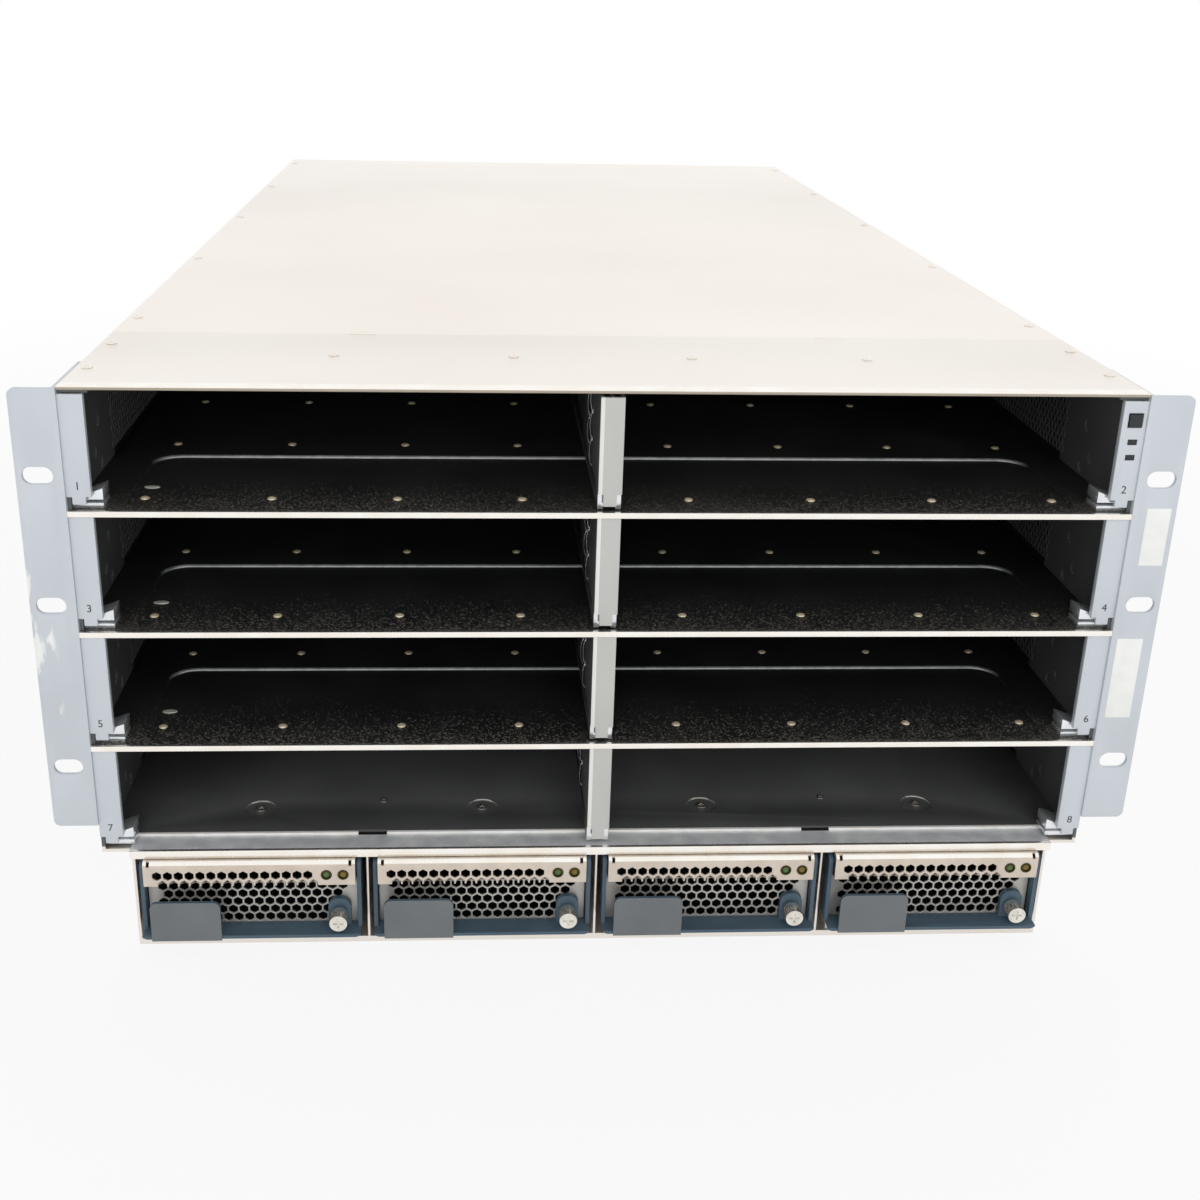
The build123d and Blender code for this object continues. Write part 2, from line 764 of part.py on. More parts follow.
def power_inlets():
    """Rear panel of the lower tier and its four recessed three-pin inlets."""
    face = body_depth - inlet_flange_sheet
    panel_y = (face - wall_sheet, face)
    panel_half = tier_half - wall_sheet
    panel = block((-panel_half, panel_half), panel_y, (base_sheet, roof_under))
    middle = (base_sheet + roof_under) / 2
    half_x = inlet_width / 2
    half_z = inlet_height / 2
    inlets = []
    for x in bay_centres:
        body_x = (x - half_x, x + half_x)
        body_z = (middle - half_z, middle + half_z)
        panel -= block(body_x, panel_y, body_z)
        flange_x = (x - half_x - inlet_flange, x + half_x + inlet_flange)
        flange_high = (middle - half_z - inlet_flange, middle + half_z + inlet_flange)
        inlet = block(body_x, (body_depth - inlet_length, body_depth), body_z)
        inlet += block(flange_x, (face, body_depth), flange_high)
        recess_x = (x - half_x + inlet_wall, x + half_x - inlet_wall)
        recess_z = (middle - half_z + inlet_wall, middle + half_z - inlet_wall)
        recess_front = body_depth - inlet_recess
        inlet -= block(recess_x, (recess_front, body_depth), recess_z)
        for pin_x, pin_z in ((-pin_spread, 0), (0, pin_height / 2), (pin_spread, 0)):
            across = (x + pin_x - pin_width / 2, x + pin_x + pin_width / 2)
            upright = (middle + pin_z - pin_height / 2, middle + pin_z + pin_height / 2)
            inlet += block(across, (recess_front, recess_front + pin_length), upright)
        inlets.append(inlet)
    return [panel] + inlets


def fasteners():
    """Screw heads on the top, floor and ears, and the rivet heads of the shelves."""
    head = Pos(0, 0, screw_head_height / 2) * Cylinder(screw_head, screw_head_height)
    rivet = Pos(0, 0, rivet_height / 2) * Cylinder(rivet_head, rivet_height)
    heads = []
    for side in (-1, 1):
        top_places = [(side * x, top_screw_back) for x in top_screw_places]
        edge_x = side * (half_width - edge_screw_inset)
        top_places += [(edge_x, y) for y in edge_screw_backs]
        cover_run = body_depth - seam_place - 2 * cover_screw_first
        for n in range(cover_screw_count):
            y = seam_place + cover_screw_first + n * cover_run / (cover_screw_count - 1)
            top_places.append((edge_x, y))
        heads += [Pos(x, y, top_z) * head for x, y in top_places]
        heads += [Pos(side * x, dimple_back, floor_top - dimple_depth) * head for x in dimple_places]
        ear_run = ear_height - 2 * ear_screw_first
        for n in range(ear_screw_count):
            z = ear_top - ear_screw_first - n * ear_run / (ear_screw_count - 1)
            place = Pos(side * (half_width + ear_sheet), ear_flange_depth / 2, z)
            heads.append(place * Rot(0, side * 90, 0) * head)
        for top in shelf_tops:
            for column in range(rivet_columns):
                x = side * (rivet_first + column * rivet_pitch)
                for row in range(rivet_rows):
                    y = rivet_row_first + row * rivet_row_pitch
                    in_field = y < emboss_back and abs(x) < half_width - emboss_margin
                    heads.append(Pos(x, y, top - (shelf_sheet if in_field else 0)) * rivet)
    return heads


os.makedirs("parts", exist_ok=True)

# Fixed chassis
save("base_pan", base_pan())
save("psu_bay_dividers", *bay_dividers())
save("psu_bay_roof", bay_roof())
right_panel = side_panel()
save("side_panel_right", right_panel)
save("side_panel_left", other_side(right_panel))
lid_x = (-half_width, half_width)
lid_z = (ceiling_z, top_z)
save("top_front_panel", block(lid_x, (0, seam_place), lid_z))
save("top_rear_cover", block(lid_x, (seam_place + seam_gap, body_depth), lid_z))
right_ear = rack_ear()
save("rack_ear_right", right_ear)
save("rack_ear_left", other_side(right_ear))
for shelf_name, shelf_top in zip(("upper", "middle", "lower"), shelf_tops):
    save(f"shelf_{shelf_name}", blade_shelf(shelf_top))
save("blade_floor", blade_floor())
right_posts = [slot_post(row) for row in range(len(row_floors))]
left_posts = [other_side(post) for post in right_posts]
right_posts[0] = right_posts[0] - button_hole() - window_cuts()
save("slot_posts", *left_posts, *right_posts)
catches = [ejector_catch(row) for row in range(len(row_floors))]
save("ejector_catches", *catches, *[other_side(catch) for catch in catches])
save("midplane", *midplane())
save("rear_bay_frame", *rear_bay_frame())
save("power_inlets", *power_inlets())
save("fasteners", *fasteners())

# Pieces that move
save("beacon_button", locator_button())
for row in range(len(row_floors)):
    save(f"slot_divider_{row + 1}", slot_divider(row))
supply_pieces = {
    "case": supply_case(),
    "face": supply_face(),
    "handle": bail_handle(),
    "thumbscrew": thumbscrew(),
}
for number, x in enumerate(bay_centres, start=1):
    for piece_name, piece in supply_pieces.items():
        save(f"psu_{number}_{piece_name}", Pos(x, 0, 0) * piece)
fan_pieces = {"module": fan_module(), "impeller": impeller()}
for number, (x, z) in enumerate(fan_centres, start=1):
    for piece_name, piece in fan_pieces.items():
        save(f"fan_{number}_{piece_name}", Pos(x, 0, z) * piece)
module_shape = io_module()
lever_shape = io_lever()
for number, x in enumerate(io_centres, start=1):
    save(f"io_module_{number}", Pos(x, 0, 0) * module_shape)
    save(f"io_lever_{number}", Pos(x, 0, 0) * lever_shape)
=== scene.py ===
import json
from math import hypot, radians, sqrt

import bpy
from mathutils import Matrix, Vector

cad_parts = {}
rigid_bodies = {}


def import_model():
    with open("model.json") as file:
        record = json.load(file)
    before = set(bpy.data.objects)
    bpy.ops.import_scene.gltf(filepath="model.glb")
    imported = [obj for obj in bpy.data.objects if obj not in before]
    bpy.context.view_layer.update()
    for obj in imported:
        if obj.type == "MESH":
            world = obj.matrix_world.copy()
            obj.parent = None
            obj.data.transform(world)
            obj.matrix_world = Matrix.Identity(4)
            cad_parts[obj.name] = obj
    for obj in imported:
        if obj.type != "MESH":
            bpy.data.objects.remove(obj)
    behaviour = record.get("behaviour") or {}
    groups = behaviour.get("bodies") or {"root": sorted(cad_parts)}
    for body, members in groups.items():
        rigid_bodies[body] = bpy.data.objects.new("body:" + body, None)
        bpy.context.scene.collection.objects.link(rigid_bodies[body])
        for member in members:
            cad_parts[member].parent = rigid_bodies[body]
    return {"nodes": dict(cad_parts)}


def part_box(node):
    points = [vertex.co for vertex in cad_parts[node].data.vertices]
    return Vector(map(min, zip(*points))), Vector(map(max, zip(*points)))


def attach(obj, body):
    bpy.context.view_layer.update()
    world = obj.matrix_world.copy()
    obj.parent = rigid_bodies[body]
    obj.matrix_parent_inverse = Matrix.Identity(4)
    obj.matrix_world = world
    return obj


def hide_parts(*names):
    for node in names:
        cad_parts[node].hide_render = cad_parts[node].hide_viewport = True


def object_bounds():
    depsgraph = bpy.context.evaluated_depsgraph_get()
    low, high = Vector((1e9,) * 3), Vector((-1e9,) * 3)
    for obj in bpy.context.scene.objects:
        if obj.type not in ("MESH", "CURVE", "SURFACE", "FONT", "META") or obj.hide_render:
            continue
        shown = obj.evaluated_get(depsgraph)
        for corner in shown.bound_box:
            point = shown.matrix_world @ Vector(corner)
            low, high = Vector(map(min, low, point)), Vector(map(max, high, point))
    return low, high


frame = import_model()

# Blade server chassis, six rack units high, in metres.
# X runs to the right seen from the front, Y runs back, Z runs up from the base.
mm = 0.001
cad_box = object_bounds()


# Studio: a pale floor, a white surround and soft lamps before the front and behind the back.
# The camera stands where the photograph was taken, a little left of the middle and above the top.
# The floor turns to plain white away from the object, so that no horizon shows.
def colour(code):
    """Linear colour of an sRGB hex value."""
    channels = [int(code[n:n + 2], 16) / 255 for n in (1, 3, 5)]
    linear = [c / 12.92 if c <= 0.04045 else ((c + 0.055) / 1.055) ** 2.4 for c in channels]
    return (*linear, 1.0)


def add_node(owner, kind, inputs=None, **settings):
    """One shader node with its settings, and a value or a link for each input named."""
    node = owner.node_tree.nodes.new(kind)
    for name, value in settings.items():
        setattr(node, name, value)
    for socket, value in (inputs or {}).items():
        if isinstance(value, bpy.types.NodeSocket):
            owner.node_tree.links.new(value, node.inputs[socket])
        else:
            node.inputs[socket].default_value = value
    return node


scene = bpy.context.scene
scene.view_settings.view_transform = "Standard"

photo_width = 1200
sensor = 36.0
focal_pixels = 1464.8
axis_pixel = (552.0, 531.5)
camera_data = bpy.data.cameras.new("photo_camera")
camera_data.sensor_width = sensor
camera_data.lens = focal_pixels / photo_width * sensor
camera_data.shift_x = (photo_width / 2 - axis_pixel[0]) / photo_width
camera_data.shift_y = (axis_pixel[1] - photo_width / 2) / photo_width
camera_data.clip_start = 0.05
camera = bpy.data.objects.new("photo_camera", camera_data)
scene.collection.objects.link(camera)
camera_place = Vector((-56.3, -978.1, 417.4)) * mm
heading, pitch, roll = radians(3.244), radians(20.342), radians(1.239)
aim = Matrix.Rotation(-heading, 4, "Z") @ Matrix.Rotation(radians(90) - pitch, 4, "X")
camera.matrix_world = Matrix.Translation(camera_place) @ aim @ Matrix.Rotation(roll, 4, "Z")
scene.camera = camera


def seen_directly(owner):
    """1 for the rays that show a surface as it is: those of the camera, mirrors and clear pieces."""
    rays = add_node(owner, "ShaderNodeLightPath")
    mirrored = add_node(
        owner, "ShaderNodeMath",
        {0: rays.outputs["Is Glossy Ray"], 1: rays.outputs["Is Transmission Ray"]}, operation="MAXIMUM",
    )
    return add_node(
        owner, "ShaderNodeMath",
        {0: rays.outputs["Is Camera Ray"], 1: mirrored.outputs[0]}, operation="MAXIMUM",
    ).outputs[0]


surround = bpy.data.worlds.new("white_surround")
surround.use_nodes = True
scene.world = surround
surround_light = 0.6
level = add_node(
    surround, "ShaderNodeMapRange",
    {"Value": seen_directly(surround), "To Min": surround_light, "To Max": 1.0},
)
backdrop = surround.node_tree.nodes["Background"]
backdrop.inputs["Color"].default_value = colour("#FFFFFF")
surround.node_tree.links.new(level.outputs["Result"], backdrop.inputs["Strength"])


def soft_lamp(name, place, target, size, power):
    """A square lamp turned to a point, kept out of mirrored rays so that the top doesn't burn out."""
    lamp_data = bpy.data.lights.new(name, "AREA")
    lamp_data.size = size
    lamp_data.energy = power
    lamp = bpy.data.objects.new(name, lamp_data)
    scene.collection.objects.link(lamp)
    lamp.location = place
    lamp.rotation_euler = (Vector(target) - Vector(place)).to_track_quat("-Z", "Y").to_euler()
    lamp.visible_glossy = False


soft_lamp("front_lamp", (0.2, -2.5, 1.15), (0.0, -0.4, 0.13), 2.0, 22.0)
soft_lamp("rear_lamp", (0.7, 2.5, 1.9), (0.0, 0.4, 0.13), 2.6, 20.0)

bpy.ops.object.select_all(action="DESELECT")
floor_size = 30.0
bpy.ops.mesh.primitive_plane_add(size=floor_size, location=(0, 0, cad_box[0].z - 0.2 * mm))
studio_floor = bpy.context.object
studio_floor.name = "studio_floor"
floor_paint = bpy.data.materials.new("matt_white_floor")
floor_paint.use_nodes = True
floor_shader = floor_paint.node_tree.nodes["Principled BSDF"]
floor_shader.inputs["Base Color"].default_value = colour("#E6E6E6")
floor_shader.inputs["Roughness"].default_value = 0.9
floor_place = add_node(floor_paint, "ShaderNodeTexCoord").outputs["Object"]
floor_reach = add_node(floor_paint, "ShaderNodeVectorMath", {0: floor_place}, operation="LENGTH")
near_reach, far_reach, near_share = 0.5, 1.2, 0.88
floor_white = add_node(
    floor_paint, "ShaderNodeMapRange",
    {
        "Value": floor_reach.outputs["Value"], "From Min": near_reach, "From Max": far_reach,
        "To Min": near_share, "To Max": 1.0,
    },
)
floor_share = add_node(
    floor_paint, "ShaderNodeMath", {0: seen_directly(floor_paint), 1: floor_white.outputs["Result"]},
    operation="MULTIPLY",
)
floor_glow = add_node(floor_paint, "ShaderNodeEmission")
floor_mix = add_node(
    floor_paint, "ShaderNodeMixShader",
    {"Fac": floor_share.outputs[0], 1: floor_shader.outputs["BSDF"], 2: floor_glow.outputs["Emission"]},
)
floor_output = floor_paint.node_tree.nodes["Material Output"]
floor_paint.node_tree.links.new(floor_mix.outputs["Shader"], floor_output.inputs["Surface"])
studio_floor.data.materials.append(floor_paint)


# Base pan and the uprights of the power supply bays: zinc plated sheet steel, folded and riveted.
# Plating gives the eye a pale warm grey with faint cloudy patches and a soft reflection.
# Each sheet is shown with the small radius that shearing and folding leave on its edges.
def surface(name, pale, deep, patch, grain, relief, rough, metallic=0.0):
    """A finish with two close colours in patches, uneven gloss and a fine relief, sizes in metres.

    The grain is drawn coarser than the real one, which would be too fine to show.
    """
    material = bpy.data.materials.new(name)
    material.use_nodes = True
    shader = material.node_tree.nodes["Principled BSDF"]
    shader.inputs["Metallic"].default_value = metallic
    place = add_node(material, "ShaderNodeTexCoord").outputs["Object"]
    patches = add_node(
        material, "ShaderNodeTexNoise", {"Vector": place, "Scale": 1 / patch, "Detail": 4.0}
    ).outputs["Fac"]
    spread = add_node(
        material, "ShaderNodeMapRange", {"Value": patches, "From Min": 0.3, "From Max": 0.7}
    ).outputs["Result"]
    tint = add_node(
        material, "ShaderNodeMixRGB", {"Fac": spread, "Color1": colour(deep), "Color2": colour(pale)}
    ).outputs["Color"]
    gloss = add_node(
        material, "ShaderNodeMapRange", {"Value": spread, "To Min": rough[0], "To Max": rough[1]}
    ).outputs["Result"]
    fine = add_node(
        material, "ShaderNodeTexNoise", {"Vector": place, "Scale": 1 / grain, "Detail": 2.0}
    ).outputs["Fac"]
    bump = add_node(
        material, "ShaderNodeBump", {"Height": fine, "Strength": 0.5, "Distance": relief}
    ).outputs["Normal"]
    material.node_tree.links.new(tint, shader.inputs["Base Color"])
    material.node_tree.links.new(gloss, shader.inputs["Roughness"])
    material.node_tree.links.new(bump, shader.inputs["Normal"])
    return material


def only(piece):
    """Makes one piece the only thing that an operator acts on."""
    bpy.ops.object.select_all(action="DESELECT")
    piece.select_set(True)
    bpy.context.view_layer.objects.active = piece


def start_editing(piece):
    """Opens one piece for editing with all of it selected."""
    only(piece)
    bpy.ops.object.mode_set(mode="EDIT")
    bpy.ops.mesh.select_all(action="SELECT")


def copy_of(node, name, finish):
    """A copy of a solid with its loose triangles merged, which takes the solid's place."""
    piece = bpy.data.objects.new(name, frame["nodes"][node].data.copy())
    scene.collection.objects.link(piece)
    piece.data.materials.clear()
    piece.data.materials.append(finish)
    start_editing(piece)
    bpy.ops.mesh.remove_doubles(threshold=0.002 * mm)
    bpy.ops.mesh.dissolve_limited(angle_limit=radians(1))
    bpy.ops.object.mode_set(mode="OBJECT")
    bpy.ops.mesh.customdata_custom_splitnormals_clear()
    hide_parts(node)
    return piece


def round_edges(piece, radius, steps=2, sharp=35):
    """Rounds the sharp edges of a piece and smooths what is rounded."""
    only(piece)
    bevel = piece.modifiers.new("rounded_edges", "BEVEL")
    bevel.width = radius
    bevel.segments = steps
    bevel.limit_method = "ANGLE"
    bevel.angle_limit = radians(sharp)
    bpy.ops.object.modifier_apply(modifier="rounded_edges")
    bpy.ops.object.shade_smooth_by_angle(angle=radians(sharp))


def mount(piece, body):
    """Lets a piece move with a body."""
    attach(piece, body)


plated_steel = surface(
    "zinc_plated_steel", "#F3EDE6", "#EAE3DB", 90 * mm, 0.8 * mm, 0.01 * mm, (0.34, 0.42), 0.9
)
sheet_edge = 0.35 * mm
for node in ("base_pan", "psu_bay_dividers"):
    sheet = copy_of(node, node + "_sheet", plated_steel)
    round_edges(sheet, sheet_edge)
    mount(sheet, "chassis")


# Roof of the power supply bays: a plated sheet, dulled by handling, with a bright folded front lip.
# The lip is bare bent steel, painted bright as a highlight, and mirrors the room; the strip behind it is
# grey and streaked.
# Under the two notches of the blade floor it lies in deep shade.
def cut_across(piece, place, normal):
    """Scores the faces of a piece along a plane, so that a finish can end there."""
    start_editing(piece)
    bpy.ops.mesh.bisect(plane_co=place, plane_no=normal)
    bpy.ops.object.mode_set(mode="OBJECT")


def paint(piece, finish, where):
    """Gives the faces that pass a test of their middle and normal another finish."""
    piece.data.materials.append(finish)
    index = len(piece.data.materials) - 1
    for face in piece.data.polygons:
        if where(face.center, face.normal):
            face.material_index = index


# Near white steel that paints the highlights on lips, rims and rolled edges.
steel_highlight = surface(
    "steel_painted_highlight", "#FFFDF8", "#F8F1E6", 14 * mm, 0.6 * mm, 0.01 * mm, (0.22, 0.32), 0.9
)
dulled_steel = surface(
    "dulled_plated_steel", "#F2F3F4", "#D2D5D8", 9 * mm, 0.9 * mm, 0.03 * mm, (0.40, 0.55), 0.25
)
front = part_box("top_front_panel")[0].y
roof_lip = 1.6 * mm
bay_roof = copy_of("psu_bay_roof", "psu_bay_roof_sheet", dulled_steel)
cut_across(bay_roof, (0, front + roof_lip, 0), (0, 1, 0))
# The front lip is painted bright as a highlight.
paint(bay_roof, steel_highlight, lambda middle, normal: middle.y < front + roof_lip)
notch_middle, notch_half, notch_depth = 102.5 * mm, 6.5 * mm, 2.0 * mm
floor_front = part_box("blade_floor")[0].y
cut_across(bay_roof, (0, floor_front - 0.2 * mm, 0), (0, 1, 0))
for side in (-1, 1):
    for edge in (-1, 1):
        cut_across(bay_roof, (side * notch_middle + edge * notch_half, 0, 0), (1, 0, 0))
gap_shade = surface(
    "shaded_gap_coat", "#101112", "#0A0A0B", 8 * mm, 0.6 * mm, 0.02 * mm, (0.6, 0.75)
)
paint(
    bay_roof, gap_shade,
    lambda middle, normal: middle.y > floor_front - 0.2 * mm
    and normal.z > 0.5 and abs(abs(middle.x) - notch_middle) < notch_half,
)
round_edges(bay_roof, sheet_edge)
mount(bay_roof, "chassis")


# Blade floor and the three shelves: steel sheet in black powder coat, spot welded to the walls.
# The coat is dark and slightly pebbled, with pale dust caught behind the front edge. The front lips, the
# rims of the screw dishes and the step behind the pressed field are painted bright, as highlights on
# their rounded edges.
def lay_over(material, mask, code):
    """Lays another colour over a finish where the mask is 1."""
    shader = material.node_tree.nodes["Principled BSDF"]
    under = shader.inputs["Base Color"].links[0].from_socket
    mixed = add_node(
        material, "ShaderNodeMixRGB", {"Fac": mask, "Color1": under, "Color2": colour(code)}
    )
    material.node_tree.links.new(mixed.outputs["Color"], shader.inputs["Base Color"])


def dust_near_front(material, reach):
    """Pale specks that thin out from the front edge backwards."""
    place = add_node(material, "ShaderNodeTexCoord").outputs["Object"]
    back = add_node(material, "ShaderNodeSeparateXYZ", {"Vector": place}).outputs["Y"]
    bound = add_node(
        material, "ShaderNodeMapRange",
        {"Value": back, "From Min": front, "From Max": front + reach, "To Min": 0.50, "To Max": 0.80},
    ).outputs["Result"]
    specks = add_node(
        material, "ShaderNodeTexNoise", {"Vector": place, "Scale": 1 / (0.9 * mm), "Detail": 1.0}
    ).outputs["Fac"]
    grains = add_node(
        material, "ShaderNodeMath", {0: specks, 1: bound}, operation="SUBTRACT"
    ).outputs[0]
    mask = add_node(
        material, "ShaderNodeMapRange", {"Value": grains, "From Min": 0.0, "From Max": 0.08}
    ).outputs["Result"]
    lay_over(material, mask, "#7C7870")


shelf_coat = surface(
    "black_powder_coat", "#282929", "#1F2020", 40 * mm, 0.7 * mm, 0.04 * mm, (0.40, 0.54)
)
dust_near_front(shelf_coat, 70 * mm)
# The same coat is painted paler on the floor and on upright sheets, as painted light for the light from
# the front that reaches them.
coat_painted_lighter = surface(
    "black_coat_painted_lighter", "#626363", "#555656", 50 * mm, 0.7 * mm, 0.04 * mm, (0.42, 0.56)
)
# The step behind the pressed field is painted pale grey as a highlight on its rounded bend.
step_highlight = surface(
    "step_painted_highlight", "#C9CCCE", "#A3A6A8", 5 * mm, 0.8 * mm, 0.02 * mm, (0.30, 0.45), 0.5
)
# Towards the front the painted highlight fades back into the coat colour.
highlight_from, highlight_fade = front + 66 * mm, 8 * mm
highlight_place = add_node(step_highlight, "ShaderNodeTexCoord").outputs["Object"]
highlight_back = add_node(step_highlight, "ShaderNodeSeparateXYZ", {"Vector": highlight_place}).outputs["Y"]
highlight_end = add_node(
    step_highlight, "ShaderNodeMapRange",
    {
        "Value": highlight_back, "From Min": highlight_from, "From Max": highlight_from + highlight_fade,
        "To Min": 1.0, "To Max": 0.0,
    },
).outputs["Result"]
lay_over(step_highlight, highlight_end, "#222323")
# The front edge of the floor is painted almost white, as a highlight where it catches the light.
floor_edge_highlight = surface(
    "floor_edge_painted_highlight", "#FFFFFF", "#F4F0E8", 6 * mm, 0.5 * mm, 0.01 * mm, (0.30, 0.40), 0.2
)
floor_lip = 1.4 * mm
# The floor takes the black coat painted paler, as painted light.
blade_floor = copy_of("blade_floor", "blade_floor_sheet", coat_painted_lighter)
cut_across(blade_floor, (0, floor_front + floor_lip, 0), (0, 1, 0))
# Painted highlight on the floor's front edge.
paint(blade_floor, floor_edge_highlight, lambda middle, normal: middle.y < floor_front + floor_lip)
round_edges(blade_floor, 0.25 * mm)
dish_middles, dish_back = (52.2 * mm, 156 * mm), front + 34 * mm
dish_radius, rim_half = 7.0 * mm, 0.4 * mm
floor_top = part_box("blade_floor")[1].z
# The rims of the screw dishes are painted bright as highlights.
paint(
    blade_floor, steel_highlight,
    lambda middle, normal: middle.z < floor_top - 0.02 * mm and any(
        abs(hypot(abs(middle.x) - x, middle.y - dish_back) - dish_radius) < rim_half for x in dish_middles
    ),
)
mount(blade_floor, "chassis")

shelf_lip = 1.35 * mm
field_half = 201.3 * mm
field_front, field_back = front + 3.9 * mm, front + 77.5 * mm
step_roll, step_drop = 1.0 * mm, 1.19 * mm
shelf_names = ("shelf_upper", "shelf_middle", "shelf_lower")
for node in shelf_names:
    shelf = copy_of(node, node + "_sheet", shelf_coat)
    cut_across(shelf, (0, front + shelf_lip, 0), (0, 1, 0))
    cut_across(shelf, (0, highlight_from, 0), (0, 1, 0))
    shelf_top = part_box(node)[1].z
    start_editing(shelf)
    bpy.ops.mesh.select_mode(type="EDGE")
    bpy.ops.mesh.select_all(action="DESELECT")
    bpy.ops.object.mode_set(mode="OBJECT")
    for edge in shelf.data.edges:
        ends = [shelf.data.vertices[n].co for n in edge.vertices]
        edge.select = all(
            abs(end.z - shelf_top) < 0.05 * mm
            and field_front < end.y < field_back and abs(end.x) < field_half
            for end in ends
        )
    bpy.ops.object.mode_set(mode="EDIT")
    bpy.ops.mesh.bevel(offset=step_roll, segments=3, affect="EDGES")
    bpy.ops.object.mode_set(mode="OBJECT")
    # The front lips are painted bright as highlights.
    paint(shelf, steel_highlight, lambda middle, normal: middle.y < front + shelf_lip)
    # The step behind the pressed field is painted as a highlight.
    paint(
        shelf, step_highlight,
        lambda middle, normal: highlight_from < middle.y < field_back + step_roll
        and shelf_top - step_drop < middle.z < shelf_top - 0.01 * mm,
    )
    round_edges(shelf, 0.4 * mm, steps=3)
    mount(shelf, "chassis")


# Oval lugs on the left of each shelf: small pads pressed up where a blade's foot lands.
# The coat is worn off them, so they show as pale dull steel.
def settle(piece):
    """Leaves a piece at the origin, unturned and unscaled, with its place in its vertices."""
    only(piece)
    bpy.ops.object.transform_apply(location=True, rotation=True, scale=True)


def set_out(master, places, name):
    """Puts a copy of a master at each place and joins them to one piece. The master goes."""
    copies = []
    for place in places:
        twin = master.copy()
        twin.data = master.data.copy()
        scene.collection.objects.link(twin)
        twin.matrix_world = place
        copies.append(twin)
    bpy.data.objects.remove(master)
    bpy.context.view_layer.update()
    only(copies[0])
    for twin in copies:
        twin.select_set(True)
    bpy.ops.object.join()
    copies[0].name = name
    settle(copies[0])
    return copies[0]


pad_steel = surface(
    "worn_pad_steel", "#EFEBE3", "#D8D4CB", 3 * mm, 0.4 * mm, 0.01 * mm, (0.30, 0.42), 0.3
)
pad_x, pad_y, pad_drop = -195 * mm, front + 35 * mm, 1.1 * mm
bpy.ops.object.select_all(action="DESELECT")
bpy.ops.mesh.primitive_cylinder_add(vertices=32, radius=1.0, depth=1.0, location=(0, 0, 0))
pad = bpy.context.object
pad.data.materials.append(pad_steel)
pad.scale = (3.4 * mm, 1.8 * mm, 0.5 * mm)
settle(pad)
round_edges(pad, 0.2 * mm, steps=3)
pad_heights = [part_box(node)[1].z - pad_drop for node in shelf_names]
pads = set_out(pad, [Matrix.Translation((pad_x, pad_y, z)) for z in pad_heights], "shelf_oval_pads")
mount(pads, "chassis")


# Side panels: plated sheet folded to a C, bright outside, black coated inside and on the front edge,
# where the coat is painted paler as the light from the front.
# Round sinks near the front give the guide pins of a blade room.
# Behind the start of the perforated liner the coat is in deep shade.
panel_coat_painted_lighter = surface(
    "panel_black_coat_painted_lighter", "#626363", "#555656", 50 * mm, 0.7 * mm, 0.04 * mm, (0.42, 0.56)
)
liner_start = front + 78 * mm
panel_place = add_node(panel_coat_painted_lighter, "ShaderNodeTexCoord").outputs["Object"]
panel_back = add_node(panel_coat_painted_lighter, "ShaderNodeSeparateXYZ", {"Vector": panel_place}).outputs["Y"]
panel_shade = add_node(
    panel_coat_painted_lighter, "ShaderNodeMapRange",
    {"Value": panel_back, "From Min": liner_start, "From Max": liner_start + 1 * mm},
).outputs["Result"]
lay_over(panel_coat_painted_lighter, panel_shade, "#1C1D1D")
coat_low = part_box("blade_floor")[1].z
flange_sheet = 2 * mm
for side, node in ((-1, "side_panel_left"), (1, "side_panel_right")):
    panel = copy_of(node, node + "_sheet", plated_steel)
    flange_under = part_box(node)[1].z - flange_sheet
    cut_across(panel, (0, 0, coat_low), (0, 0, 1))
    # Inside and on the front edge the coat is painted paler as light, and behind the liner's start darker
    # as shade.
    paint(
        panel, panel_coat_painted_lighter,
        lambda middle, normal: side * normal.x < -0.5 or (normal.z < -0.5 and middle.z > flange_under)
        or (normal.y < -0.5 and middle.z > coat_low),
    )
    only(panel)
    bpy.ops.object.shade_smooth_by_angle(angle=radians(35))
    mount(panel, "chassis")


